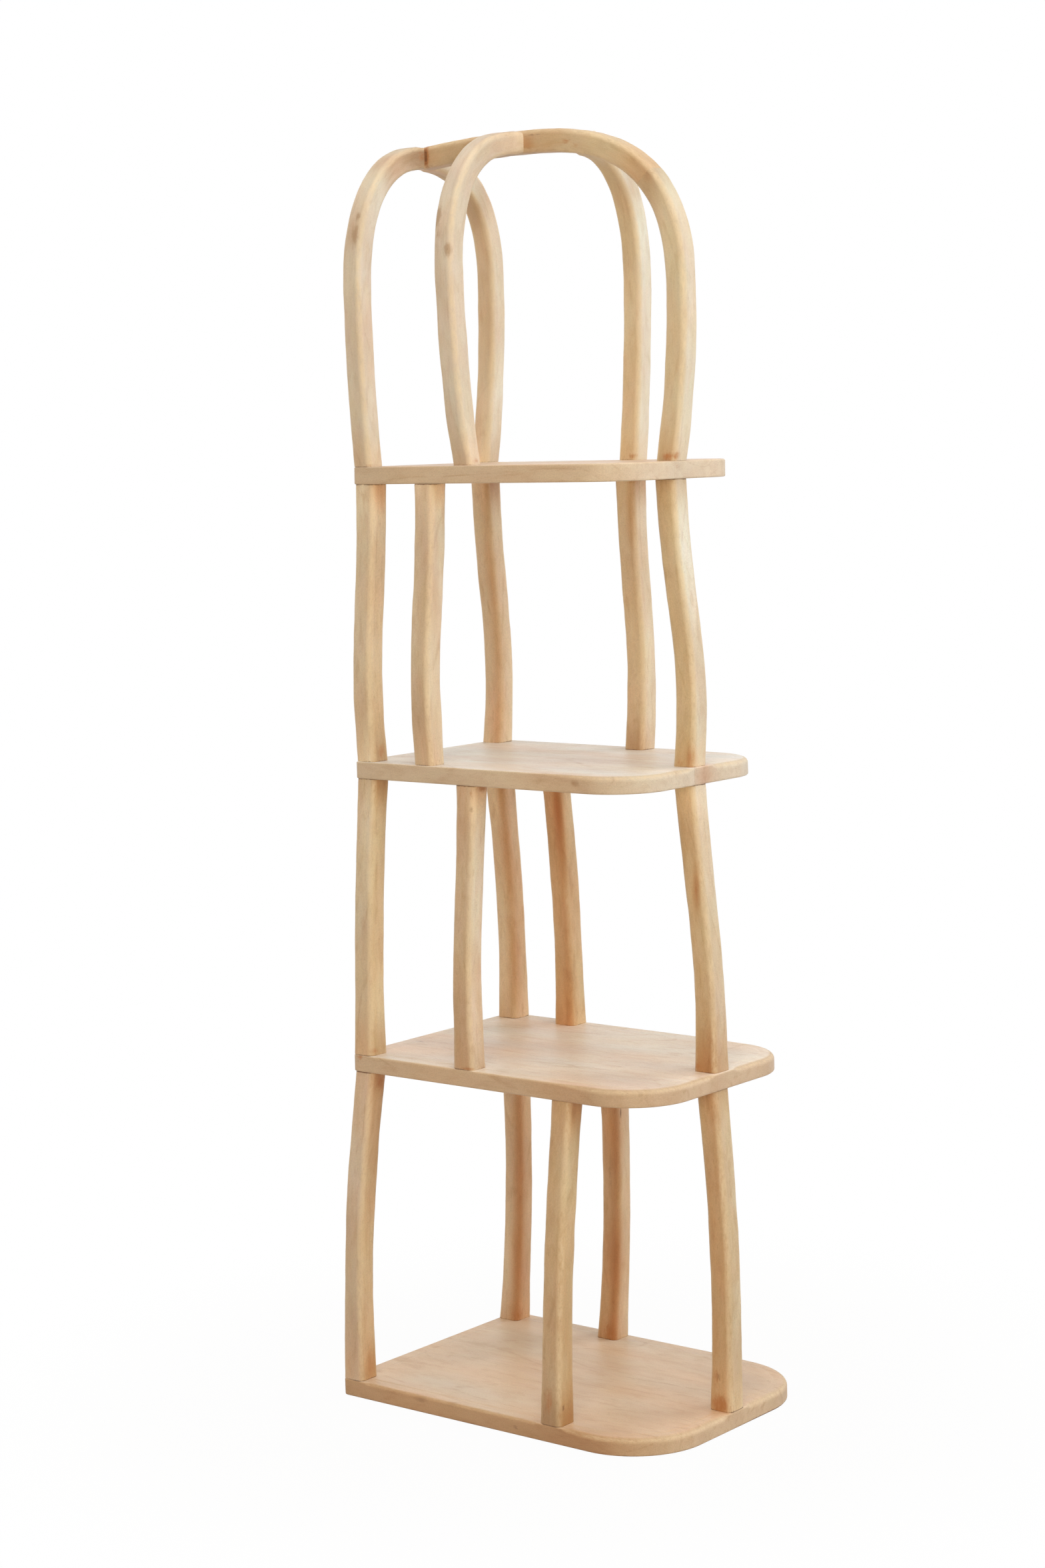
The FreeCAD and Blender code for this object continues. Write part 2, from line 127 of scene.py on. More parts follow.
# Slow changes over a piece: middle value, amount, wavelength in millimetres, scaling of places that
# draws the change out along the grain, and what is added to the piece's seed
Change = namedtuple("Change", "middle amount length scaling turn")
CHANGES = {
    "size": Change(0, 0.35, 70.0, (1, 1, 1), 0),
    "arris": Change(0, 1.3, 55.0, (1, 1, 1), 1),
    "wave": Change(0, 0.4, 15.0, (1, 1, 0.45), 2),
    "ripple": Change(0, 0.15, 6.0, (1, 1, 0.45), 3),
    "tone": Change(0, 0.07, 30.0, (1, 1, 0.35), 4),
    "rose": Change(0.25, 0.5, 45.0, (1, 1, 0.3), 5),
    "worn_highlight": Change(0.75, 0.5, 40.0, (1, 1, 1), 6),
    "warm": Change(0, 0.4, 60.0, (1, 1, 0.5), 7),
    "streak": Change(0.85, 0.8, 60.0, (1, 1, 0.5), 8),
    "glue": Change(0.8, 0.9, 16.0, (1, 1, 1), 9),
    "board_tone": Change(0, 0.035, 40.0, (1, 0.4, 1), 0),
    "board_rose": Change(0.3, 0.6, 80.0, (1, 0.4, 1), 5),
    "board_drift": Change(0, 0.45, 60.0, (1, 0.4, 1), 9),
    "edge": Change(0, 0.3, 28.0, (1, 1, 1), 0),
    "floor_shadow": Change(0.55, 0.5, 30.0, (1, 1, 1), 3),
}
NOISE_SHIFTS = (13.7, 7.3, 3.1)
SEED_RANGE = 997

# How far apart in the wood the pieces are cut, for each step of a stick's seed or a shelf's number
STICK_STEPS = np.array((7.0, 11.0, 17.0))
BOARD_STEPS = np.array((0, 900.0, 1300.0))


def smooth(value):
    """0 to 1 with a level start and a level end."""
    value = np.clip(value, 0, 1)
    return value * value * (3 - 2 * value)


def change(kind, points, seed):
    """The slow change of the kind named, at each point."""
    row = CHANGES[kind]
    places = (points * np.array(row.scaling)).reshape(-1, 3)
    shift = Vector([(seed + row.turn) * size for size in NOISE_SHIFTS])
    values = [noise.noise(Vector(place) / row.length + shift) for place in places]
    return row.middle + row.amount * np.array(values).reshape(points.shape[:-1])


def between(pair, share):
    """A value that goes from the first of a pair, at share 0, to the second, at share 1."""
    first, second = pair
    return first + (second - first) * share


def length_along(points):
    steps = np.linalg.norm(np.diff(points, axis=0), axis=1)
    return np.concatenate(([0], np.cumsum(steps)))


# Nodes of materials

def colour(red, green, blue):
    """Scene-linear colour of one written as 0 to 255 on a screen."""
    shares = [value / 255 for value in (red, green, blue)]
    linear = [share / 12.92 if share < 0.04045 else ((share + 0.055) / 1.055) ** 2.4
              for share in shares]
    return (*linear, 1.0)


# A noise: changes per metre across the grain and along it, then the noise's own settings
Grain = namedtuple("Grain", "across along detail roughness distortion")


class Graph:
    """Short calls for building the nodes of a material or of the world."""

    def __init__(self, owner, output="ShaderNodeOutputMaterial"):
        owner.use_nodes = True
        self.owner = owner
        self.tree = owner.node_tree
        self.tree.nodes.clear()
        self.output = self.tree.nodes.new(output)

    def put(self, socket, value):
        if isinstance(value, bpy.types.NodeSocket):
            self.tree.links.new(value, socket)
        else:
            socket.default_value = value

    def node(self, kind, inputs, **settings):
        made = self.tree.nodes.new(kind)
        for key, value in settings.items():
            setattr(made, key, value)
        for key, value in inputs.items():
            self.put(made.inputs[key], value)
        return made

    def math(self, operation, *values, clamp=False):
        inputs = dict(enumerate(values))
        return self.node("ShaderNodeMath", inputs, operation=operation, use_clamp=clamp).outputs[0]

    def times(self, first, second):
        return self.math("MULTIPLY", first, second)

    def centred(self, value):
        """How far a noise is above its middle value."""
        return self.math("SUBTRACT", value, 0.5)

    def attribute(self, name, output="Fac"):
        return self.node("ShaderNodeAttribute", {}, attribute_name=name).outputs[output]

    def grain(self, place, grain):
        """Noise that is drawn out along the third axis."""
        inputs = {0: place, 1: (grain.across, grain.across, grain.along)}
        stretched = self.node("ShaderNodeVectorMath", inputs, operation="MULTIPLY").outputs[0]
        inputs = {"Vector": stretched, "Scale": 1.0, "Detail": grain.detail,
                  "Roughness": grain.roughness, "Distortion": grain.distortion}
        return self.node("ShaderNodeTexNoise", inputs).outputs["Fac"]

    def spread(self, value, span):
        """A value drawn out so that the two ends of a span become 0 and 1."""
        inputs = {"Value": value, "From Min": span[0], "From Max": span[1]}
        return self.node("ShaderNodeMapRange", inputs, interpolation_type="SMOOTHSTEP").outputs[0]

    def mix(self, share, first, second, blend="MIX"):
        inputs = {0: share, 6: first, 7: second}
        return self.node("ShaderNodeMix", inputs, data_type="RGBA", blend_type=blend).outputs[2]

    def brighten(self, base, factor):
        grey = self.node("ShaderNodeCombineColor", {0: factor, 1: factor, 2: factor}).outputs[0]
        return self.mix(1.0, base, grey, "MULTIPLY")

    def bump(self, height, distance, strength):
        inputs = {"Height": height, "Distance": distance, "Strength": strength}
        return self.node("ShaderNodeBump", inputs).outputs[0]

    def link_output(self, socket):
        self.tree.links.new(socket, self.output.inputs[0])

    def finish(self, **inputs):
        """End in a surface whose inputs have the names given, and return the material."""
        named = {key.replace("_", " "): value for key, value in inputs.items()}
        self.link_output(self.node("ShaderNodeBsdfPrincipled", named).outputs[0])
        return self.owner


# Colours of what lies on the wood, and of its tints. The edge tint paints shade on the shelf edges,
# the worn tint a highlight with paler wear on rounded corners, and the dark tint also a shadow
# along the bottom shelf's lower edge
STAIN = colour(178, 114, 62)
SMOKE = colour(166, 134, 100)
DARK = colour(104, 68, 42)
ROSE = colour(236, 212, 200)
EDGE_SHADE = colour(226, 213, 198)
WARM = colour(240, 222, 206)
WORN_HIGHLIGHT = colour(233, 213, 174)
WHITE = (1, 1, 1, 1)

# Kinds of patch, each with its colour and how far it covers the wood
PATCHES = {"stain": (STAIN, 0.8), "smoke": (SMOKE, 0.7), "dark": (DARK, 0.85)}
PATCH_SPAN = (0.12, 0.75)
PATCH_EDGE = 0.15
MASKS = ("tone", "rose", "pink", "worn_highlight", "edge", "warm", "sheen", *PATCHES)

# Noises in the wood, and the spans of values in which some of them show
GRAINS = {
    "broad": Grain(26, 5, 3, 0.55, 0.6),
    "cloud": Grain(90, 28, 4, 0.6, 0.4),
    "streaks": Grain(420, 13, 3, 0.6, 0.15),
    "fibres": Grain(1500, 60, 2, 0.5, 0.0),
    "fuzz": Grain(640, 450, 2, 0.65, 0.0),
    "pores": Grain(1250, 95, 1, 0.5, 0.0),
    "flecks": Grain(620, 42, 2, 0.5, 0.0),
    "rings": Grain(8, 1.7, 1, 0.4, 0.3),
    "ragged": Grain(260, 90, 4, 0.65, 0.5),
    "mottle": Grain(62, 24, 5, 0.72, 0.3),
    "blush": Grain(51, 19, 5, 0.72, 0.3),
}
SPANS = {"broad": (0.3, 0.7), "cloud": (0.42, 0.75), "pores": (0.66, 0.78), "flecks": (0.58, 0.75),
         "ragged": (0.2, 0.7)}
CLOUD_SHARE = 0.5
RING_COUNT = 10.0
RING_HALF = 0.5
VEIN_SPAN = (0.09, 0.0)
VEIN_CLOUD_SPAN = (0.35, 0.6)
WARM_LOSS = 1.33
PINK_SHARE = 0.1

# Relief, in metres, and gloss of the wood, and what the sheen of the tops and the clouds change
BUMP_HEIGHT = 0.0003
FUZZ_HEIGHT = 0.5
PORE_DEPTH = 1.5
RELIEF = 0.6
SHEEN_RELIEF = -0.15
ROUGHNESS = 0.42
SHEEN_ROUGHNESS = -0.08
CLOUD_ROUGHNESS = 0.16

# Three colours of a wood, then how strong each part of its figure is
Wood = namedtuple("Wood", "pale mid deep streak pore fuzz fleck vein mottle blush")


def bare_wood(graph, wood, noises, shown, pores):
    """Colour of the bare wood, from its clouds down to its pores, flecks and veins."""
    base = graph.mix(shown["broad"], wood.mid, wood.pale)
    base = graph.mix(graph.times(shown["cloud"], CLOUD_SHARE), base, wood.deep)
    shade = 1.0
    for kind, strength in (("streaks", -wood.streak), ("fibres", -wood.streak), ("fuzz", wood.fuzz)):
        shade = graph.math("MULTIPLY_ADD", graph.centred(noises[kind]), strength, shade)
    base = graph.brighten(base, shade)
    base = graph.mix(pores, base, wood.deep, "MULTIPLY")
    base = graph.mix(graph.times(shown["flecks"], wood.fleck), base, WHITE)
    rings = graph.times(noises["rings"], RING_COUNT)
    vein = graph.spread(graph.math("PINGPONG", rings, RING_HALF), VEIN_SPAN)
    vein = graph.times(vein, graph.spread(noises["cloud"], VEIN_CLOUD_SPAN))
    return graph.mix(graph.times(vein, wood.vein), base, wood.deep, "MULTIPLY")


def tinted_wood(graph, wood, noises, base):
    """The wood under its tints: brighter or darker, rosier, warmer and pinker from place to place."""
    # The tone, edge and warm tints carry painted light and shade as well as the wood's own colour
    base = graph.brighten(base, graph.math("ADD", graph.attribute("tone"), 1.0))
    base = graph.mix(graph.attribute("rose"), base, ROSE, "MULTIPLY")
    # Painted shade on the shelf edges: the edge tint darkens and greys them
    base = graph.mix(graph.attribute("edge"), base, EDGE_SHADE, "MULTIPLY")
    mottle = graph.times(graph.centred(noises["mottle"]), wood.mottle)
    base = graph.brighten(base, graph.math("POWER", WARM_LOSS, mottle))
    warm = graph.math("ADD", mottle, graph.attribute("warm"))
    blush = graph.centred(noises["blush"])
    pink = graph.math("MULTIPLY_ADD", blush, wood.blush, graph.attribute("pink"))
    shares = [graph.math("POWER", share, warm) for share in WARM[:3]]
    shares[1] = graph.times(shares[1], graph.math("MULTIPLY_ADD", pink, -PINK_SHARE, 1.0))
    tint = graph.node("ShaderNodeCombineColor", dict(enumerate(shares))).outputs[0]
    return graph.mix(1.0, base, tint, "MULTIPLY")


def highlit_and_worn_wood(graph, noises, shown, base):
    """The wood with a painted highlight and paler wear on its corners, then its ragged stains and
    smudges.
    """
    base = graph.mix(graph.times(graph.attribute("worn_highlight"), shown["ragged"]), base, WORN_HIGHLIGHT)
    for kind, (tint, cover) in PATCHES.items():
        mask = graph.math("ADD", graph.attribute(kind), graph.centred(noises["ragged"]))
        mask = graph.times(graph.spread(mask, PATCH_SPAN), graph.attribute(kind + "_on"))
        base = graph.mix(graph.times(mask, cover), base, tint)
    return base


def make_wood(name, wood):
    """Pale close-grained wood whose grain runs along the third wood coordinate."""
    graph = Graph(bpy.data.materials.new(name))
    place, sheen = graph.attribute("wood", "Vector"), graph.attribute("sheen")
    noises = {kind: graph.grain(place, grain) for kind, grain in GRAINS.items()}
    shown = {kind: graph.spread(noises[kind], span) for kind, span in SPANS.items()}
    pores = graph.times(shown["pores"], wood.pore)
    base = bare_wood(graph, wood, noises, shown, pores)
    base = tinted_wood(graph, wood, noises, base)
    base = highlit_and_worn_wood(graph, noises, shown, base)
    height = graph.math("MULTIPLY_ADD", noises["fuzz"], FUZZ_HEIGHT, noises["fibres"])
    height = graph.math("MULTIPLY_ADD", pores, -PORE_DEPTH, height)
    relief = graph.math("MULTIPLY_ADD", sheen, SHEEN_RELIEF, RELIEF)
    roughness = graph.math("MULTIPLY_ADD", sheen, SHEEN_ROUGHNESS, ROUGHNESS)
    roughness = graph.math("MULTIPLY_ADD", noises["cloud"], CLOUD_ROUGHNESS, roughness)
    return graph.finish(Base_Color=base, Roughness=roughness,
                        Normal=graph.bump(height, BUMP_HEIGHT, relief))


POST_WOOD = make_wood("post_wood", Wood(
    colour(220, 202, 166), colour(212, 190, 150), colour(200, 172, 130),
    0.1, 0.5, 0.4, 0.04, 0.2, 0.7, 1.6))
CROWN_WOOD = make_wood("crown_wood", Wood(
    colour(221, 207, 178), colour(214, 197, 165), colour(204, 182, 147),
    0.09, 0.4, 0.28, 0.04, 0.15, 0.8, 1.6))
# Its colours are paler than the posts' partly to paint the sheen of the shelf tops
BOARD_WOOD = make_wood("board_wood", Wood(
    colour(226, 209, 181), colour(220, 200, 171), colour(208, 182, 150),
    0.08, 0.4, 0.42, 0.06, 0.22, 0.25, 0.9))

# Marks on each piece: kind, place in the row frame, radius across and along, strength. The tone
# marks high on the right and back right posts of the two lower bays are painted light, which
# brightens them just below the shelf above
Mark = namedtuple("Mark", "kind x y z across along strength")
MARKS = {
    "back_arch_left": (
        ("smoke", -158, 246, 1764, 7, 22, 0.85), ("smoke", -150, 246, 1792, 5, 9, 0.75),
        ("stain", -17, 236, 1886, 8, 12, 0.9), ("stain", -148, 237, 1425, 12, 3.5, 0.4),
        ("warm", -66, 234, 1865, 30, 30, 0.6), ("warm", -158, 251, 1765, 20, 40, 0.5),
        ("tone", -158, 251, 1765, 20, 40, -0.07)),
    "back_arch_right": (
        ("tone", 123, 234, 1836, 26, 45, -0.18), ("warm", 123, 234, 1836, 26, 45, 0.45),
        ("tone", 142, 251, 1760, 18, 40, 0.1)),
    "side_arch_left": (
        ("smoke", -162, 82, 1781, 7, 20, 0.95), ("dark", -163, 86, 1785, 2.5, 6, 0.45),
        ("smoke", -168, 78, 1754, 4, 12, 0.6), ("smoke", -171, 59, 1732, 7, 11, 0.95),
        ("dark", -171, 59, 1733, 2, 3, 0.4), ("stain", -136, 45, 1429, 6, 5, 0.6),
        ("warm", -164, 71, 1775, 20, 40, 0.3)),
    "side_arch_right": (
        ("stain", 125, -48, 1429, 9, 5, 0.6), ("warm", 118, -64, 1817, 22, 45, 0.4)),
    "front_arch": (
        ("warm", -16, -187, 1828, 8, 9, 0.7), ("stain", -16, -213, 1429, 10, 6, 0.75),
        ("stain", -12, -225, 1430, 7, 7, 0.7)),
    "ridge_rail": (
        ("stain", -16, -40, 1886, 3.5, 13, 0.55), ("stain", -16, -58, 1879, 3, 7, 0.45),
        ("warm", -16, 30, 1886, 12, 14, 1.5), ("dark", -16, 18, 1901, 1.6, 20, 0.4),
        ("stain", -16, 225, 1885, 16, 5, 1.4), ("dark", -16, 225.5, 1885, 15, 3, 1.0)),
    "post_back_left_1": (
        ("stain", -170, 236, 492, 14, 14, 0.6), ("warm", -190, 256, 44, 12, 30, 1.6)),
    "post_back_left_2": (("stain", -184, 234, 542, 9, 6, 0.5),),
    "post_back_left_3": (
        ("warm", -135, 231, 1380, 13, 28, 1.2), ("stain", -155, 228, 995, 8, 14, 0.5)),
    "post_back_right_1": (
        ("tone", 169, 256, 385, 18, 50, 0.12), ("warm", 169, 256, 380, 18, 50, 0.4),
        ("tone", 186, 239, 380, 18, 50, 0.18), ("stain", 176, 256, 36, 14, 16, 0.5)),
    "post_back_right_2": (
        ("warm", 132, 232, 900, 8, 60, 1.8), ("tone", 137, 246, 885, 18, 45, 0.13)),
    "post_left_1": (
        ("dark", -203, -128, 56, 1.8, 5, 0.9), ("stain", -210, -108, 66, 9, 24, 0.5),
        ("dark", -211, -103, 82, 1.6, 4, 0.7), ("dark", -211, -100, 128, 1.6, 3, 0.7)),
    "post_left_2": (
        ("smoke", -174, 40, 921, 4, 5, 0.6), ("stain", -173, 41, 945, 5, 8, 0.4),
        ("stain", -152, 34, 952, 14, 7, 0.75), ("tone", -174, 37, 925, 7, 18, 0.16),
        ("stain", -191, 46, 538, 14, 3, 0.6)),
    "post_right_1": (
        ("dark", 174, 39, 400, 1.4, 12, 0.8), ("dark", 174, 62, 292, 4, 22, 0.3),
        ("tone", 168, 59, 385, 18, 55, 0.3), ("stain", 176, 72, 36, 12, 22, 0.6)),
    "post_right_2": (
        ("warm", 146, 128, 880, 8, 50, 1.5), ("tone", 146, 140, 885, 18, 45, 0.22),
        ("tone", 163, 123, 880, 18, 45, 0.12), ("warm", 163, 123, 880, 18, 45, -0.5)),
    "post_right_3": (
        ("warm", 121, -44, 1340, 7, 40, 1.4), ("stain", 119, -50, 1391, 16, 4, 0.5)),
    "post_front_1": (
        ("dark", -18, -275, 81, 3, 8, 0.7), ("stain", -18, -270, 79, 7, 16, 0.5),
        ("stain", -18, -277, 38, 18, 18, 0.8), ("dark", -16, -290, 29, 10, 1.2, 0.45)),
    "post_front_2": (
        ("warm", -17, -250, 803, 6, 34, 2.2), ("stain", -17, -250, 800, 3, 20, 0.4),
        ("stain", -18, -246, 543, 9, 6, 0.55)),
    "post_front_3": (
        ("stain", -16, -243, 996, 3, 13, 0.45), ("warm", -15, -244, 994, 6, 17, 2.0),
        ("stain", -17, -226, 988, 7, 6, 0.5)),
    "shelf_1_lipping_left": (
        ("smoke", -210, 137, 22, 5, 14, 0.7), ("smoke", -208, 79, 25, 4, 12, 0.6),
        ("dark", -212, -44, 14, 3, 6, 0.6), ("dark", -116, -293, 20, 1.5, 10, 0.5),
        ("warm", -208, -160, 14, 40, 70, 0.6)),
    "shelf_2_lipping_left": (
        ("stain", -191, 257, 531, 5, 6, 0.6), ("dark", -191, 262, 526, 2, 2, 0.7),
        ("smoke", -164, -251, 529, 5, 5, 0.5), ("warm", -190, -140, 522, 40, 70, 0.6)),
    "shelf_2_panel": (("dark", -66, 240, 535, 4, 4, 0.7),),
    "shelf_3_lipping_left": (
        ("smoke", -174, -153, 971, 5, 8, 0.9), ("stain", -174, -150, 971, 3, 4, 0.5),
        ("warm", -173, -130, 969, 40, 60, 0.45)),
    "shelf_3_lipping_right": (("rose", 6, -252, 970, 24, 30, 1.0),),
    "shelf_4_lipping_right": (
        ("smoke", -8, -226, 1413, 6, 8, 0.4), ("stain", -12, -226, 1415, 3, 5, 0.45)),
}


class Masks:
    """One value per vertex for each of the tints that a piece carries."""

    def __init__(self, points):
        self.places = points + ORIGIN
        self.values = {name: np.zeros(points.shape[:-1]) for name in MASKS}

    def mark(self, piece):
        """Lay on the marks of a piece. Their long way follows Z on sticks and Y on the rest."""
        along_axis = 2 if piece.startswith("post") or "arch" in piece else 1
        for row in MARKS.get(piece, ()):
            mark = Mark(*row)
            offset = (self.places - np.array((mark.x, mark.y, mark.z))) / mark.across
            offset[..., along_axis] *= mark.across / mark.along
            falloff = np.exp(-np.sum(offset ** 2, axis=-1)) * mark.strength
            join = np.maximum if mark.kind in PATCHES else np.add
            self.values[mark.kind] = join(self.values[mark.kind], falloff)

    def write(self, mesh, grain, wood_offset):
        """Store the values on a mesh, with its place in the wood in metres."""
        stored = dict(self.values)
        for kind in PATCHES:
            stored[kind + "_on"] = smooth(self.values[kind] / PATCH_EDGE)
        for name, values in stored.items():
            mesh.attributes.new(name, "FLOAT", "POINT").data.foreach_set("value", values.ravel())
        wood = mesh.attributes.new("wood", "FLOAT_VECTOR", "POINT")
        wood.data.foreach_set("vector", ((grain + wood_offset) * MM).ravel())


def add_object(name, data):
    """Object with the data given, put into the scene."""
    added = bpy.data.objects.new(name, data)
    bpy.context.scene.collection.objects.link(added)
    return added


def add_piece(name, material, vertices, faces, replaced):
    """Mesh object from millimetres round the bottom shelf's middle, riding on the unit's body."""
    mesh = bpy.data.meshes.new(name)
    mesh.from_pydata(((vertices + ORIGIN) * MM).tolist(), [], faces)
    mesh.shade_smooth()
    mesh.set_sharp_from_angle(angle=SHARP_ANGLE)
    mesh.materials.append(material)
    piece = add_object(name, mesh)
    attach(piece, "root")
    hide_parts(*replaced)
    return piece


def seed_of(name):
    return sum((index + 1) * ord(letter) for index, letter in enumerate(name)) % SEED_RANGE


# Sticks: posts and arches, as rings of points round a centre line

Run = namedtuple("Run", "centres across along_depth sizes")
Stick = namedtuple("Stick", "name seed joints distance half flat weights outward points")

# How far an end is eased, over what length, its shares at a foot and at a head, and how far from an
# end the bumps begin
END_EASE = 0.5
EASE_LENGTH = 1.2
EASE_SHARES = (0.6, 0.7)
CALM_LENGTH = 12.0

# How strongly a joint shows at a stick's foot and at its head
POST_JOINTS = (0.6, 1.0)
ARCH_JOINTS = (0.35, 0)
FRONT_JOINTS = (0.35, 0.25)
RIDGE_JOINTS = (0.25, 0.5)

# How much less some feet reach to the right, and how much slimmer a post's middle is
SLIM_FEET = {"post_left_2": 4.5, "post_left_3": 4.0, "side_arch_left": 4.5}
SLIM_LENGTH = 70.0
SLIM_MIDDLES = {"post_left_2": 1.5}

# How much warmer, brighter and pinker than the rest each stick is on its left face and on its front
# face, then what its foot adds, and what its head adds: tone and warmth on the left face, and tone
# and warmth on the front face. These are partly each stick's own colour and partly painted light and
# shade: one face lit more than the other, and ends lightened or darkened under and over the shelves
Shading = namedtuple("Shading", "warmth tone pink foot head")
SHADINGS = {
    "post_front_1": (
        (0.8, -0.2), (0.0, -0.06), (-0.1, -0.15), (0.1, -0.3, 0.2, -0.35), (0.12, 0.3, 0.05, 0.1)),
    "post_front_2": (
        (0.5, -0.35), (-0.03, -0.07), (-0.25, 0.25), (0.02, 0.9, 0.0, 0.4), (0.3, -0.65, 0.18, -1.2)),
    "post_front_3": (
        (0.25, -0.85), (-0.02, -0.09), (-0.3, 0.3), (0.0, 0.1, 0.15, -0.3), (0.05, 0.1, 0.0, 0.0)),
    "post_left_1": (
        (0.45, 0.25), (-0.07, 0.04), (0.0, -0.3), (-0.15, 0.25, -0.08, 1.2), (0.0, 0.0, 0.18, 0.25)),
    "post_left_2": (
        (0.25, -0.55), (-0.1, -0.01), (0.35, 0.45), (0.05, 0.1, -0.1, 0.15), (0.05, -0.25, 0.3, -0.4)),
    "post_left_3": (
        (-0.35, -0.7), (-0.09, 0.0), (0.35, 0.35), (0.1, -0.25, -0.05, -0.1), (0.15, -0.35, 0.42, -0.5)),
    "post_right_1": (
        (0.85, 0.15), (0.06, 0.06), (0.35, 0.35), (0.0, 0.1, 0.0, -0.35), (0.2, 0.0, 0.0, 0.2)),
    "post_right_2": (
        (1.05, 0.7), (0.13, 0.0), (0.15, -0.15), (0.05, -0.05, 0.1, -0.4), (0.2, -0.15, 0.15, -0.4)),
    "post_right_3": (
        (-0.2, -0.6), (0.02, 0.02), (0.2, 0.35), (-0.1, 0.3, -0.05, -0.05), (0.3, -0.25, 0.15, -0.2)),
    "post_back_left_1": (
        (-0.5, 0.1), (-0.07, 0.12), (0.6, 0.0), (0.1, -0.1, -0.05, -0.15), (0.05, -0.25, 0.1, -0.2)),
    "post_back_left_2": (
        (-0.6, 0.0), (-0.04, 0.11), (0.25, -0.25), (0.12, 0.25, -0.2, 0.25), (-0.05, 0.15, 0.05, 0.2)),
    "post_back_left_3": (
        (-0.5, -0.2), (-0.06, 0.08), (0.2, 0.1), (0.25, -0.35, -0.2, 0.5), (0.1, -0.35, 0.42, -1.4)),
    "post_back_right_1": (
        (-0.3, 0.8), (0.07, 0.07), (0.5, 0.25), (0.0, -0.2, 0.15, -0.4), (0.05, 0.4, 0.15, 0.0)),
    "post_back_right_2": (
        (-0.6, 0.55), (0.23, 0.13), (0.25, 0.3), (-0.1, 0.15, 0.1, -0.35), (0.15, -0.2, 0.0, 0.0)),
    "post_back_right_3": (
        (-0.45, -0.35), (0.16, 0.04), (0.4, 0.2), (0.05, -0.2, 0.05, -0.4), (0.2, -0.15, -0.05, 0.25)),
    "side_arch_right": (
        (0.3, -0.75), (0.05, -0.03), (-0.35, 0.0), (0.05, 0.0, 0.05, 0.0), (0.1, 0.2, -0.15, 0.45)),
    "side_arch_left": (
        (-0.45, -0.35), (-0.08, -0.11), (0.3, 0.2), (0.03, 0.25, 0.15, -0.35), (-0.1, 0.4, 0.18, 0.1)),
    "back_arch_left": (
        (-0.5, -0.5), (-0.04, -0.01), (0.15, 0.25), (0.05, 0.1, 0.1, -0.15), (-0.2, 0.65, -0.3, 1.3)),
    "back_arch_right": (
        (0.2, -0.5), (0.11, 0.0), (0.0, 0.1), (0.25, -0.5, -0.05, 0.15), (0.12, 0.2, -0.25, 0.5)),
    "front_arch": (
        (0.3, -0.3), (0.01, -0.01), (-0.4, 0.0), (-0.05, 0.35, 0.0, -0.2), (-0.1, 0.35, -0.13, -0.15)),
    "ridge_rail": ((0.75, 0.0), (-0.02, 0.0), (-0.3, 0.0), (0, 0, 0, 0), (0, 0, 0, 0)),
}
# Warmth at a stick's foot, and painted shade under the shelf above a post's head: warmer all round, and
# darker and warmer on the front face, less so on the front posts
FOOT_WARMTH = 0.45
HEAD_WARMTH = 0.3
SHADED_HEAD = 1.3
HEAD_SHADE = 0.09
FRONT_SHARE = 0.45
FOOT_LENGTH = 45.0
HEAD_LENGTH = 36.0
END_STRENGTH = 1.2
END_LENGTH = 50.0
# Painted highlight with paler wear along a stick's rounded corners
WORN_HIGHLIGHT_SHARE = 0.75
GLUE_LENGTH = 2.2
GLUE_MOST = 1.2

# Sticks with a warm streak down the corner between the left face and the front face
STREAKS = {
    "post_back_right_1": 1.7, "post_back_right_2": 1.1, "post_back_right_3": 1.0,
    "post_right_1": 1.7, "post_right_2": 1.2, "post_right_3": 0.3,
}
STREAK_WIDTH = 10.0
STREAK_SHIFT = 5.0
STREAK_MOST = 1.4


def ring_pattern(reaches, corner):
    """Outline of a rounded oblong in its own plane: points, outward normals and corner weights.

    The four reaches are to +u, -u, +v and -v for every ring, so a ring may be wider on one side.
    """
    right, left, upper, lower = reaches
    corners = ((1, 1, right, upper), (-1, 1, left, upper), (-1, -1, left, lower),
               (1, -1, right, lower))
    steps = range(CORNER_STEPS + 1)
    arcs = []
    for turn, (sign_u, sign_v, reach_u, reach_v) in enumerate(corners):
        angles = [math.pi / 2 * (turn + step / CORNER_STEPS) for step in steps]
        normals = [np.array((math.cos(angle), math.sin(angle))) for angle in angles]
        centre = np.stack((sign_u * (reach_u - corner), sign_v * (reach_v - corner)), axis=-1)
        arcs.append((normals, [centre + corner[:, None] * normal for normal in normals]))
    points, normals, weights = [], [], []
    for turn, (arc_normals, arc) in enumerate(arcs):
        after = arcs[(turn + 1) % len(arcs)][1][0]
        points += arc
        normals += arc_normals
        weights += [math.sin(math.pi * step / CORNER_STEPS) for step in steps]
        for step in range(1, SIDE_STEPS):
            share = step / SIDE_STEPS
            points.append(arc[-1] * (1 - share) + after * share)
            normals.append(arc_normals[-1])
            weights.append(0.0)
    return np.stack(points, axis=1), np.array(normals), np.array(weights)


def closed_rings(ring_count, around):
    """Faces of a tube of rings with both ends closed."""
    faces = []
    for ring in range(ring_count - 1):
        here, ahead = ring * around, (ring + 1) * around
        for step in range(around):
            after = (step + 1) % around
            faces.append((here + step, here + after, ahead + after, ahead + step))
    faces.append(tuple(reversed(range(around))))
    faces.append(tuple(range((ring_count - 1) * around, ring_count * around)))
    return faces


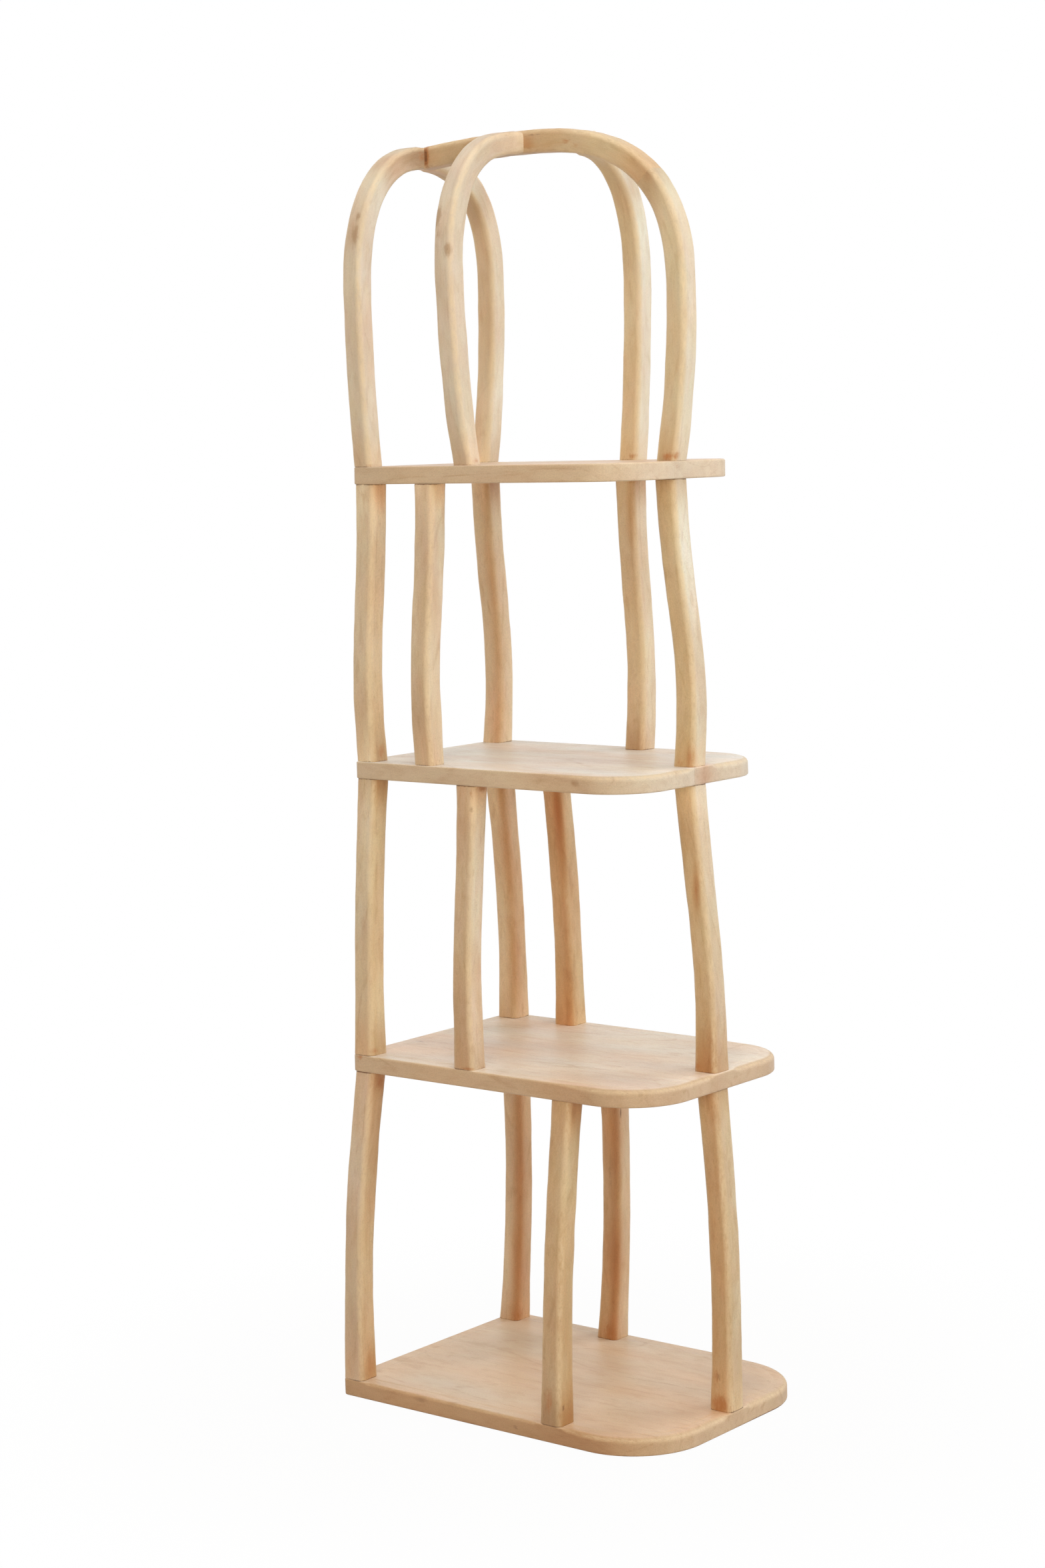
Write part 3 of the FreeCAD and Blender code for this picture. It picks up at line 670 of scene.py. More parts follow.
def resampled(run):
    """The same run at even steps, with a few close rings at each end, and its distances."""
    distance = length_along(run.centres)
    total = distance[-1]
    ends = np.array(END_RINGS)
    count = int(round(total / RING_STEP))
    inner = np.linspace(ends[-1] + RING_STEP, total - ends[-1] - RING_STEP, count)
    wanted = np.concatenate((ends, inner, total - ends[::-1]))

    def at(values):
        values = np.asarray(values, float)
        if values.ndim == 1:
            return np.interp(wanted, distance, values)
        return np.stack([np.interp(wanted, distance, column) for column in values.T], axis=-1)

    return Run(*(at(values) for values in run)), wanted


def near_ends(distance, length):
    """1 at the foot, down to 0 at a length from it, and the same for the head."""
    return [np.clip(1 - away / length, 0, 1) for away in (distance, distance[-1] - distance)]


def bell(away, length):
    """A column of values that fall off from 1 where a stick's end is far away."""
    return np.exp(-(away / length) ** 2)[:, None]


def shape_stick(name, run, halves, joints):
    """Rings of a hand-shaped square stick along a run of centres."""
    run, distance = resampled(run)
    seed = seed_of(name)
    line = np.stack((distance, 0 * distance, 0 * distance), axis=-1)
    half = run.sizes / 2 + change("size", line, seed)
    from_foot, from_head = near_ends(distance, EASE_LENGTH)
    foot_ease, head_ease = (share * joint for share, joint in zip(EASE_SHARES, joints))
    half = half - END_EASE * (foot_ease * from_foot + head_ease * from_head)
    trimmed = SLIM_FEET.get(name, 0) * smooth(1 - distance / SLIM_LENGTH)
    reaches = [half - trimmed, half, half, half]
    if halves:
        reaches = [reach + more for reach, more in zip(reaches, halves(distance))]
    flat, normals, weights = ring_pattern(reaches, ARRIS + change("arris", line, seed))
    u_axis, v_axis = ((axis / np.linalg.norm(axis, axis=1, keepdims=True))[:, None]
                      for axis in (run.across, run.along_depth))
    points = run.centres[:, None] + flat[..., :1] * u_axis + flat[..., 1:] * v_axis
    outward = normals[None, :, :1] * u_axis + normals[None, :, 1:] * v_axis
    calm = smooth(np.minimum(distance, distance[-1] - distance) / CALM_LENGTH)[:, None]
    bumps = change("wave", points, seed) + change("ripple", points, seed)
    points = points + outward * (bumps * calm)[..., None]
    return Stick(name, seed, joints, distance, half, flat, weights, outward, points)


def streak_on(stick):
    """The warm streak down a corner, wavy along the stick."""
    reach = stick.half[:, None]
    from_corner = np.hypot(stick.flat[..., 0] + reach, stick.flat[..., 1] + reach - STREAK_SHIFT)
    wavy = np.clip(change("streak", stick.points, stick.seed), 0, STREAK_MOST)
    return STREAKS.get(stick.name, 0) * np.exp(-(from_corner / STREAK_WIDTH) ** 2) * wavy


def shade_stick(stick):
    """Tints of a stick's faces, ends, corners and joints, partly painted light, shade and highlight."""
    name, seed, points, distance = stick.name, stick.seed, stick.points, stick.distance
    shading = Shading(*SHADINGS[name])
    to_head = distance[-1] - distance
    forward = np.clip(-stick.outward[..., 1], 0, 1)
    to_front = stick.outward[..., 1] ** 2
    # Painted shade under the shelf above the head: warmer, and darker and warmer on the front face
    near_head = bell(to_head, HEAD_LENGTH) * name.startswith("post")
    shade = HEAD_SHADE * near_head * forward
    streak = streak_on(stick)
    darker = SHADED_HEAD * (FRONT_SHARE if "front" in name else 1)
    ends = FOOT_WARMTH * bell(distance, FOOT_LENGTH) + near_head * (HEAD_WARMTH + darker * forward)
    masks = Masks(points)
    # The faces' tones, warmths and pinkness are partly painted light and shade
    masks.values["tone"] = change("tone", points, seed) + between(shading.tone, to_front) - shade
    masks.values["rose"] = np.clip(change("rose", points, seed), 0, 1)
    masks.values["pink"] = between(shading.pink, to_front)
    masks.values["warm"] = between(shading.warmth, to_front) + ends + change("warm", points, seed)
    masks.values["warm"] += streak
    # Tone and warmth at the foot and the head, partly painted light and shade
    for added, away in ((shading.foot, distance), (shading.head, to_head)):
        near = END_STRENGTH * bell(away, END_LENGTH)
        masks.values["tone"] += near * between(added[::2], to_front)
        masks.values["warm"] += near * between(added[1::2], to_front)
    # Painted highlight with paler wear on the rounded corners, left out where the warm streak runs
    rubbed_and_lit = np.clip(change("worn_highlight", points, seed), 0, 1) * (1 - np.clip(streak, 0, 1))
    masks.values["worn_highlight"] = WORN_HIGHLIGHT_SHARE * stick.weights[None] * rubbed_and_lit
    lines = zip(stick.joints, near_ends(distance, GLUE_LENGTH))
    glue = sum(strength * line for strength, line in lines)
    masks.values["dark"] = glue[:, None] * np.clip(change("glue", points, seed), 0, GLUE_MOST)
    masks.mark(name)
    return masks


def make_stick(name, material, run, halves=None, joints=POST_JOINTS):
    stick = shape_stick(name, run, halves, joints)
    masks = shade_stick(stick)
    around = len(stick.weights)
    along = np.repeat(stick.distance[:, None, None], around, axis=1)
    grain = np.concatenate((stick.flat, along), axis=-1)
    faces = closed_rings(len(stick.distance), around)
    piece = add_piece(name, material, stick.points.reshape(-1, 3), faces, [name])
    masks.write(piece.data, grain.reshape(-1, 3), stick.seed * STICK_STEPS)


# Posts

def top_of(shelf):
    return shelf.base + THICKNESS


def front_of(shelf):
    return shelf.back - shelf.depth


def seat_reach(shelf):
    return shelf.width / 2 - SEAT_SIZE / 2


def post_seats(shelf):
    """Seats of the posts at a shelf's back corners and at its front."""
    reach, back = seat_reach(shelf), shelf.back - SEAT_SIZE / 2
    return {
        "back_left": (-reach, back),
        "back_right": (reach - shelf.right_inset, back - shelf.right_back),
        "front": (0, front_of(shelf) + SEAT_SIZE / 2 + shelf.front_inset),
    }


def bay_seats(bay):
    """Seats of the feet and heads of a bay's posts."""
    feet, heads = post_seats(SHELVES[bay]), post_seats(SHELVES[bay + 1])
    for side, sign in (("left", -1), ("right", 1)):
        foot_place, head_place = SIDE_PLACES[bay][side]
        feet[side] = (sign * seat_reach(SHELVES[bay]), foot_place)
        heads[side] = (sign * seat_reach(SHELVES[bay + 1]), head_place)
    return feet, heads


def make_posts():
    share = np.linspace(0, 1, POST_STEPS)
    axes = [np.tile(axis, (POST_STEPS, 1)) for axis in (RIGHT, BACK)]
    for bay, waves in enumerate(WAVES):
        feet, heads = bay_seats(bay)
        for kind, (bow, sway) in waves.items():
            foot = np.array((*feet[kind], top_of(SHELVES[bay])))
            head = np.array((*heads[kind], SHELVES[bay + 1].base))
            wave = bow * np.sin(math.pi * share) + sway * np.sin(2 * math.pi * share)
            centres = foot + (head - foot) * share[:, None] + OUTWARDS[kind] * wave[:, None]
            end_size = np.where(share < 0.5, FOOT_SIZES[bay], HEAD_SIZE)
            name = "post_%s_%d" % (kind, bay + 1)
            middle_size = POST_SIZE - SLIM_MIDDLES.get(name, 0)
            swell = np.abs(2 * share - 1) ** SWELL_POWER
            sizes = middle_size + (end_size - middle_size) * swell
            make_stick(name, POST_WOOD, Run(centres, *axes, sizes))


# Crown

BACK_PLACE = TOP_SHELF.back - ARCH_SIZE / 2 - CROWN_INSET
FRONT_PLACE = front_of(TOP_SHELF) + FRONT_ARCH_SIZE / 2 + TOP_SHELF.front_inset
CROWN_REACH = TOP_SHELF.width / 2 - ARCH_SIZE / 2 - CROWN_INSET

# Back and side legs: bulge, height where the curve springs and its roundness, then how far and over
# what length the head spreads along the ridge, and whether to the front
Leg = namedtuple("Leg", "outward bulge spring roundness flare flare_length forward")
LEGS = {
    "back_arch_left": Leg(LEFT, 13.0, 255.0, 2.25, 7.0, 30.0, True),
    "back_arch_right": Leg(RIGHT, 25.0, 271.0, 2.45, 0.0, 30.0, False),
    "side_arch_left": Leg(LEFT, 18.5, 259.0, 2.4, 21.0, 58.0, True),
    "side_arch_right": Leg(RIGHT, 10.5, 239.0, 2.4, 6.0, 30.0, False),
}
FLARE_POWER = 2.4
HEAD_SINK = 1.8
SINK_LENGTH = 4.0
Arch = namedtuple("Arch", "outward head foot_out foot_shift bulge spring rise roundness size")


def ridge_height(place):
    """Height of the ridge's middle line over the top shelf, at a place along the depth."""
    if place > RIDGE_TOP:
        run = BACK_PLACE - RIDGE_TOP
        return RIDGE_RISE - RIDGE_SAG * ((place - RIDGE_TOP) / run) ** 2
    span = RIDGE_TOP - FRONT_PLACE + FRONT_BULGE
    level = 1 - ((RIDGE_TOP - place) / span) ** FRONT_ROUNDNESS
    return FRONT_SPRING + (RIDGE_RISE - FRONT_SPRING) * level ** (1 / FRONT_ROUNDNESS)


def arch_run(arch, base, first=0.0, last=1.0, leg=True, end_size=None):
    """Centres and axes of an arch: a leg that bulges out, then part of its quarter turn."""
    centres, normals, sizes = [], [], []
    aside = np.cross(UP, arch.outward)

    def put(out, up, normal, size):
        fade = 1 - up / arch.rise
        shift = np.array((0, arch.foot_shift * fade, 0))
        centres.append(arch.head + arch.outward * out + shift + UP * (base + up))
        normals.append(normal)
        sizes.append(size)

    if leg:
        for share in np.linspace(0, 1, LEG_STEPS)[:-1]:
            put(arch.foot_out + arch.bulge * (1 - (1 - share) ** 2), arch.spring * share,
                arch.outward, arch.size)
    power = arch.roundness
    span, climb = arch.foot_out + arch.bulge, arch.rise - arch.spring
    for share in np.linspace(0, 1, ARC_STEPS):
        angle = (first + (last - first) * share) * math.pi / 2
        level, steep = max(math.cos(angle), 0), math.sin(angle)
        reach = (level ** power + steep ** power) ** (-1 / power)
        across, upward = reach * level, reach * steep
        out, up = across ** (power - 1) / span, upward ** (power - 1) / climb
        normal = arch.outward * out + UP * up
        normal = normal / np.linalg.norm(normal)
        size = arch.size + ((end_size or arch.size) - arch.size) * share
        put(span * across, arch.spring + climb * upward, normal, size)
    return Run(np.array(centres), np.array(normals), np.tile(aside, (len(centres), 1)),
               np.array(sizes))


def flared(leg):
    """Extra reaches of a leg whose head spreads along the ridge."""
    def extra(distance):
        from_head = distance[-1] - distance - RIDGE_SIZE / 2
        spread = leg.flare * np.clip(1 - from_head / leg.flare_length, 0, 1) ** FLARE_POWER
        sunk = -HEAD_SINK * smooth(1 - from_head / SINK_LENGTH)
        none = 0 * distance
        return (sunk, sunk, spread, none) if leg.forward else (sunk, sunk, none, spread)
    return extra


def make_ridge(front, base):
    """The rail that carries the front leg's curve on, back to the back arch."""
    curve = arch_run(front, base, SEAM_SHARE, 1, leg=False, end_size=RIDGE_SIZE)
    places = np.linspace(RIDGE_TOP, BACK_PLACE - ARCH_SIZE / 2, ARC_STEPS)[1:]
    centres = np.array([(0, place, base + ridge_height(place)) for place in places])
    axes = [np.tile(axis, (len(places), 1)) for axis in (UP, np.cross(UP, FRONT))]
    rail = Run(centres, *axes, np.full(len(places), RIDGE_SIZE))
    run = Run(*(np.concatenate(pair) for pair in zip(curve, rail)))
    make_stick("ridge_rail", CROWN_WOOD, run, joints=RIDGE_JOINTS)


def make_crown():
    base = top_of(TOP_SHELF)
    for name, leg in LEGS.items():
        foot, head, rise = BACK_PLACE, BACK_PLACE, BACK_RISE
        if name.startswith("side"):
            foot, head = SIDE_PLACES[-1][name.split("_")[-1]]
            rise = ridge_height(head) + (RIDGE_SIZE - ARCH_SIZE) / 2
        arch = Arch(leg.outward, np.array((0, head, 0)), CROWN_REACH, foot - head, leg.bulge,
                    leg.spring, rise, leg.roundness, ARCH_SIZE)
        run = arch_run(arch, base)
        make_stick(name, CROWN_WOOD, run, flared(leg), ARCH_JOINTS)
    front = Arch(FRONT, np.array((0, RIDGE_TOP, 0)), RIDGE_TOP - FRONT_PLACE, 0, FRONT_BULGE,
                 FRONT_SPRING, RIDGE_RISE, FRONT_ROUNDNESS, FRONT_ARCH_SIZE)
    run = arch_run(front, base, 0, SEAM_SHARE)
    make_stick("front_arch", CROWN_WOOD, run, joints=FRONT_JOINTS)
    make_ridge(front, base)


# Shelves

# Roundover of the top arris, and its shares along the left side and along the front
ROUND_WIDTH = 11.0
ROUND_HEIGHT = 8.5
LEAST_ROUND = 0.6
ROUND_FADE = 18.0
ROUND_STOP = 0.5
SLIGHT_SHARE = 0.2
ROUND_SHARES = ((0.6, 1.0), (0.35, 1.0), (0.22, 1.0), (0.15, 0.3))
PAST_CORNER = 20.0
PAST_CORNER_LENGTH = 110.0
NEAR_BACK = 12.0
NEAR_BACK_LENGTH = 10.0

# Edge of a board: its steps, the ease of its lower arris, the fine line beside the core board, how
# its seams open, and the heights between which it is uneven
CORNER_BULGES = (0.0, 3.0, 0.0, 0.0)
EDGE_STEP = 3.0
LEAST_STEPS = 2
LEAST_ARC_STEPS = 8
EASE_STEPS = 4
SIDE_ROWS = 6
ROUND_STEPS = 9
LOWER_EASE = 2.0
LOWER_INSETS = (12.0, 4.0)
LOWER_END = 1.8 * LOWER_EASE
TOP_INSET = 15.5
DRAWN_INSET = 9.0
LINE_INSETS = (0.04, 0.02)
LINE_DEPTH = 0.1
SEAM_GAPS = (0.02, 0.05, 0.3, 0.15)
SEAM_RING = 0.25
SEAM_CLEAR = 0.5
UNEVEN_FROM = 0.5
UNEVEN_TO = 0.2

# Core board: size of its cells, its eased rim, and what counts as close or touching
PANEL_CELL = 7.0
PANEL_EASE = 0.05
RIM_SHARE = 0.6
CLOSE = 0.8
TOUCH = 0.01
TOLERANCE = 0.0001


def edge_line(shelf):
    """Dense points, outward normals and distances round a shelf's edge from the middle of its back.

    The way goes to the left back corner, down the left side, over the front and back up.
    """
    half, back, front = shelf.width / 2, shelf.back, front_of(shelf)
    radius, small = shelf.corner, BACK_CORNER
    points, normals = [], []

    def straight(start, end, normal):
        start, end = np.array(start), np.array(end)
        count = max(int(np.linalg.norm(end - start) / EDGE_STEP), LEAST_STEPS)
        for share in np.linspace(0, 1, count, endpoint=False):
            points.append(start + (end - start) * share)
            normals.append(normal)

    def arc(centre, size, start, end):
        count = max(int(size * abs(end - start) / EDGE_STEP), LEAST_ARC_STEPS)
        for angle in np.linspace(start, end, count, endpoint=False):
            normal = np.array((math.cos(angle), math.sin(angle)))
            points.append(np.array(centre) + size * normal)
            normals.append(normal)

    quarter = math.pi / 2
    straight((0, back), (-half + small, back), (0, 1))
    arc((-half + small, back - small), small, quarter, 2 * quarter)
    straight((-half, back - small), (-half, front + radius), (-1, 0))
    arc((-half + radius, front + radius), radius, 2 * quarter, 3 * quarter)
    straight((-half + radius, front), (half - radius, front), (0, -1))
    arc((half - radius, front + radius), radius, -quarter, 0)
    straight((half, front + radius), (half, back - small), (1, 0))
    arc((half - small, back - small), small, 0, quarter)
    straight((half - small, back), (0, back), (0, 1))
    points.append(np.array((0, back)))
    normals.append((0, 1))
    points, normals = np.array(points, float), np.array(normals, float)
    on_arc = np.clip(-2 * normals[:, 0] * normals[:, 1], 0, 1) * (points[:, 1] < 0)
    points = points + normals * (CORNER_BULGES[shelf.number - 1] * on_arc)[:, None]
    return points, normals, length_along(points)


def seats_on(shelf):
    """Centres of everything that stands on a shelf."""
    seats = post_seats(shelf)
    reach = CROWN_REACH if shelf is TOP_SHELF else seat_reach(shelf)
    for side, sign in (("left", -1), ("right", 1)):
        seats[side] = (sign * reach, SIDE_PLACES[shelf.number - 1][side][0])
    return seats.values()


def edge_fade(shelf, points):
    """How far the roundover has grown at each edge point: 0 beside a post, 1 well away from it.

    It is full at the front, less on the left side, and slight on the right side and the back.
    """
    side_share, front_share = ROUND_SHARES[shelf.number - 1]
    shoulder = front_of(shelf) + shelf.corner
    past_corner = smooth((points[:, 1] - shoulder + PAST_CORNER) / PAST_CORNER_LENGTH)
    side_share = np.where(points[:, 0] > 0, SLIGHT_SHARE, side_share)
    fade = between((front_share, side_share), past_corner)
    at_back = smooth((points[:, 1] - shelf.back + NEAR_BACK) / NEAR_BACK_LENGTH)
    fade = between((fade, SLIGHT_SHARE), at_back)
    reach = SEAT_SIZE / 2 + ROUND_STOP
    for x, y in seats_on(shelf):
        away = np.maximum(np.abs(points[:, 0] - x), np.abs(points[:, 1] - y)) - reach
        fade = np.minimum(fade, between((SLIGHT_SHARE, 1), smooth(away / ROUND_FADE)))
    return fade


def lipping_section(fade):
    """Insets and heights from the inner bottom round the outside to the inner top."""
    width, height = (between((LEAST_ROUND, size), fade) for size in (ROUND_WIDTH, ROUND_HEIGHT))
    rows = [(inset, 0) for inset in (LIPPING, *LOWER_INSETS)]
    rows += [(LOWER_EASE * (1 - math.sin(angle)), LOWER_EASE * (1 - math.cos(angle)))
             for angle in np.linspace(0, math.pi / 2, EASE_STEPS)]
    rows += [(0, value) for value in np.linspace(LOWER_END, THICKNESS - height, SIDE_ROWS)[:-1]]
    rows += [(width * (1 - math.cos(angle)), THICKNESS - height * (1 - math.sin(angle)))
             for angle in np.linspace(0, math.pi / 2, ROUND_STEPS)]
    outer_line, inner_line = (LIPPING - inset for inset in LINE_INSETS)
    rows += [(TOP_INSET, THICKNESS), (outer_line, THICKNESS), (inner_line, THICKNESS - LINE_DEPTH)]
    return np.array(rows)


# Shades of each shelf: its top's tone, warmth, pinkness and share of rose, how much warmer it gets
# to the front, then its edge's share of the edge tint, its tones and warmths at the side and at the
# front, and how much the side darkens to the front. The top's tone and warmth, with the warming to
# the front, paint a sheen that is palest on the upper shelves and fades to the front; the edge
# tint, tones and warmths paint shade and light on the edges, the side against the front
Board = namedtuple("Board", "tone warmth pink rose_share front_warmth edge_share edge_tones "
                            "edge_warmths side_fall")
BOARDS = (
    Board(0.06, 0.1, 0.1, 0.1, 0.35, 1.0, (0.06, 0.1), (0.6, -0.45), 0.1),
    Board(0.07, -0.75, 0.2, 0.9, 0.15, 0.45, (-0.03, -0.05), (0.5, 0.45), 0.12),
    Board(0.05, -1.1, 0.25, 0.9, 0.1, 0.35, (-0.07, -0.08), (0.35, -0.1), 0.06),
    Board(0.0, -0.1, 0.2, 0.8, 0.2, 0.7, (0.0, 0.0), (-0.15, -0.5), 0.0),
)
TOP_BLEND = 1.5
FRONT_FROM = 60.0
FRONT_LENGTH = 320.0
DRIFT_TONE = 0.28
EDGE_DRIFT_SHARE = 0.35

# Painted highlight with paler wear on the lipping's rounded arris, and a painted shadow along the
# bottom shelf's lower edge, where it stands over the floor
ARRIS_HIGHLIGHT = 0.6
HIGHLIGHT_INSET = 3.0
HIGHLIGHT_HEIGHT = 23.0
HIGHLIGHT_WIDTH = 3.5
SHADOW_MOST = 1.5
SHADOW_HEIGHT = 2.4
LEAST_SHADOW = 0.1
LEFT_SHADOW_SHARE = 0.4


def shade_board(masks, points, shelf, forward=0):
    """Slow changes of tone over a whole shelf: pinker on the top, plain on the edges.

    forward is 1 where an edge looks to the front and 0 where it looks to a side.
    """
    board = BOARDS[shelf.number - 1]
    on_top = smooth((points[..., 2] - top_of(shelf) + TOP_BLEND) / TOP_BLEND)
    to_front = smooth((FRONT_FROM - points[..., 1]) / FRONT_LENGTH)
    # Painted shade and light on the edges, the side against the front
    side_tone, front_tone = board.edge_tones
    edge_tone = between((side_tone - board.side_fall * to_front, front_tone), forward)
    edge_warmth = between(board.edge_warmths, forward)
    drift = change("board_drift", points, shelf.number)
    drifting = between((EDGE_DRIFT_SHARE, 1), on_top)
    # Painted sheen on the top: its tone and warmth, and the warming to the front
    warm = board.warmth + board.front_warmth * to_front + drift
    tone = change("board_tone", points, shelf.number) + edge_tone * (1 - on_top)
    masks.values["tone"] = tone + board.tone * on_top + DRIFT_TONE * drift * drifting
    rose = np.clip(change("board_rose", points, shelf.number), 0, 1)
    masks.values["rose"] = rose * on_top * board.rose_share
    masks.values["edge"] = (1 - on_top) * board.edge_share
    masks.values["sheen"] = on_top
    masks.values["pink"] = board.pink * on_top
    masks.values["warm"] = warm * drifting + edge_warmth * (1 - on_top)


def add_floor_shadow(masks, points, shelf, seed):
    # Painted shadow along the bottom shelf's lower edge, patchy and weaker on the left
    low = np.clip(SHADOW_MOST - (points[..., 2] - shelf.base) / SHADOW_HEIGHT, 0, 1)
    patchy = np.clip(change("floor_shadow", points, seed), LEAST_SHADOW, 1)
    masks.values["dark"] = low * patchy * between((LEFT_SHADOW_SHARE, 1), points[..., 0] > 0)


def core_half(shelf):
    """Half the width of a shelf's core board, and the place of its back edge."""
    return shelf.width / 2 - LIPPING, shelf.back - LIPPING


def band_line(shelf, start, end):
    """Points and outward normals of the edge between two distances round the shelf."""
    line, normals, distance = edge_line(shelf)
    total = distance[-1]
    wanted = distance[(distance > start + SEAM_CLEAR) & (distance < end - SEAM_CLEAR)]
    if end > total:
        wanted = np.concatenate((wanted, distance[distance < end - total - SEAM_CLEAR] + total))
    wanted = np.concatenate(([start, start + SEAM_RING], wanted, [end - SEAM_RING, end]))
    looped = np.mod(wanted, total)
    at = [np.interp(looped, distance, column) for column in (*line.T, *normals.T)]
    outer, normal = np.stack(at[:2], axis=-1), np.stack(at[2:], axis=-1)
    return outer, normal / np.linalg.norm(normal, axis=1, keepdims=True)


def band_rings(shelf, outer, normal, fade):
    """The lipping's section at each point of its line, a little slimmer at the two seams."""
    inner_x, inner_back = core_half(shelf)
    inner = outer - normal * LIPPING
    inner[:, 0] = np.clip(inner[:, 0], -inner_x, inner_x)
    inner[:, 1] = np.minimum(inner[:, 1], inner_back)
    gap = np.zeros(len(outer))
    gap[0] = gap[-1] = SEAM_GAPS[shelf.number - 1]
    middle = THICKNESS / 2
    rings = []
    for index in range(len(outer)):
        inset, height = lipping_section(fade[index]).T
        straight = outer[index] - normal[index] * inset[:, None]
        drawn = outer[index] + (inner[index] - outer[index]) * (inset / LIPPING)[:, None]
        share = smooth((inset - DRAWN_INSET) / (LIPPING - DRAWN_INSET))[:, None]
        flat = straight * (1 - share) + drawn * share
        flat = flat - normal[index] * gap[index] * (inset < LIPPING / 2)[:, None]
        height = middle + (height - middle) * (1 - gap[index] / THICKNESS)
        rings.append(np.concatenate((flat, height[:, None] + shelf.base), axis=1))
    return np.array(rings)


def make_lipping(shelf, name, start, end):
    """Edge band between two distances round the shelf."""
    outer, normal = band_line(shelf, start, end)
    fade = edge_fade(shelf, outer)
    points = band_rings(shelf, outer, normal, fade)
    seed = seed_of(name)
    outward = np.concatenate((normal, np.zeros((len(normal), 1))), axis=1)[:, None]
    height = points[..., 2]
    uneven = (height < top_of(shelf) - UNEVEN_TO) & (height > shelf.base + UNEVEN_FROM)
    points = points + outward * (uneven * change("edge", points, seed))[..., None]
    masks = Masks(points)
    shade_board(masks, points, shelf, np.clip(-normal[:, 1], 0, 1)[:, None])
    # Painted highlight with paler wear along the rounded top arris, where the roundover is full
    from_arris = (lipping_section(1.0) - (HIGHLIGHT_INSET, HIGHLIGHT_HEIGHT)) / HIGHLIGHT_WIDTH
    masks.values["worn_highlight"] = ARRIS_HIGHLIGHT * np.exp(-np.sum(from_arris ** 2, axis=1)) * fade[:, None]
    # The bottom shelf gets a painted shadow along its lower edge
    if shelf.number == 1:
        add_floor_shadow(masks, points, shelf, seed)
    masks.mark(name)
    faces = [tuple(reversed(face)) for face in closed_rings(len(points), points.shape[1])]
    vertices = points.reshape(-1, 3)
    piece = add_piece(name, BOARD_WOOD, vertices, faces, [name])
    masks.write(piece.data, vertices[:, [0, 2, 1]], shelf.number * BOARD_STEPS)


def panel_outline(shelf, middle):
    """Points round the core board, in order round its middle."""
    line, normals, _ = edge_line(shelf)
    inner_x, inner_back = core_half(shelf)
    inner = line[:-1] - normals[:-1] * LIPPING
    keep = (np.abs(inner[:, 0]) <= inner_x + TOUCH) & (inner[:, 1] <= inner_back + TOUCH)
    corners = [(-inner_x, inner_back), (inner_x, inner_back)]
    cleaned = []
    for point in [tuple(point) for point in inner[keep]] + corners:
        if all(math.dist(point, other) > CLOSE for other in cleaned):
            cleaned.append(point)
    cleaned.sort(key=lambda point: math.atan2(point[1] - middle[1], point[0] - middle[0]))
    return np.array(cleaned)


def panel_grid(shelf, ring):
    """Points inside the core board, clear of its outline and of the round corners."""
    inner_x, inner_back = core_half(shelf)
    radius, front = shelf.corner, front_of(shelf)
    inside = []
    for x in np.arange(-inner_x + PANEL_CELL, inner_x - PANEL_CELL / 2, PANEL_CELL):
        for y in np.arange(front + LIPPING, inner_back - PANEL_CELL / 2, PANEL_CELL):
            gaps = np.hypot(ring[:, 0] - x, ring[:, 1] - y)
            over, below = max(abs(x) - (shelf.width / 2 - radius), 0), front + radius - y
            depth = math.hypot(over, below) if below > 0 and over > 0 else 0
            if gaps.min() > PANEL_CELL * RIM_SHARE and depth < radius - LIPPING:
                inside.append((x, y))
    return inside


def make_panel(shelf):
    """Core board whose top is finely divided, with the grain along the depth."""
    name = "shelf_%d_panel" % shelf.number
    inner_x, inner_back = core_half(shelf)
    middle = np.array((0, (inner_back + front_of(shelf) + LIPPING) / 2))
    ring = panel_outline(shelf, middle)
    count = len(ring)
    flat = [Vector(point) for point in (*ring, *panel_grid(shelf, ring))]
    loop = [(index, (index + 1) % count) for index in range(count)]
    verts, _, faces, _, _, _ = delaunay_2d_cdt(flat, loop, [], 1, TOLERANCE)
    level = top_of(shelf)
    top = np.array([(*vert, level) for vert in verts])
    rim = np.column_stack((ring, np.full(count, level - PANEL_EASE)))
    foot = np.column_stack((ring, np.full(count, shelf.base)))
    shrink = 1 - PANEL_EASE / inner_x
    top[:count, :2] = middle + (top[:count, :2] - middle) * shrink
    vertices = np.concatenate((top, rim, foot))
    faces = [tuple(face) for face in faces]
    start = len(top)
    for index, after in loop:
        faces.append((index, start + index, start + after, after))
        faces.append((start + index, start + count + index, start + count + after, start + after))
    faces.append(tuple(range(start + 2 * count - 1, start + count - 1, -1)))
    masks = Masks(vertices)
    shade_board(masks, vertices, shelf)
    masks.mark(name)
    piece = add_piece(name, BOARD_WOOD, vertices, faces, [name])
    masks.write(piece.data, vertices[:, [0, 2, 1]], shelf.number * BOARD_STEPS)


def make_shelves():
    for shelf in SHELVES:
        line, _, distance = edge_line(shelf)
        inner_x = core_half(shelf)[0]
        at_front = np.abs(line[:, 1] - front_of(shelf)) < TOUCH
        seam = float(np.interp(-SEAT_SIZE / 2, line[at_front, 0], distance[at_front]))
        name = "shelf_%d_lipping_" % shelf.number
        make_lipping(shelf, name + "left", inner_x, seam)
        make_lipping(shelf, name + "right", seam, distance[-1] - inner_x)
        make_lipping(shelf, name + "back", distance[-1] - inner_x, distance[-1] + inner_x)
        make_panel(shelf)


# Pads under the bottom shelf, and the hidden pins

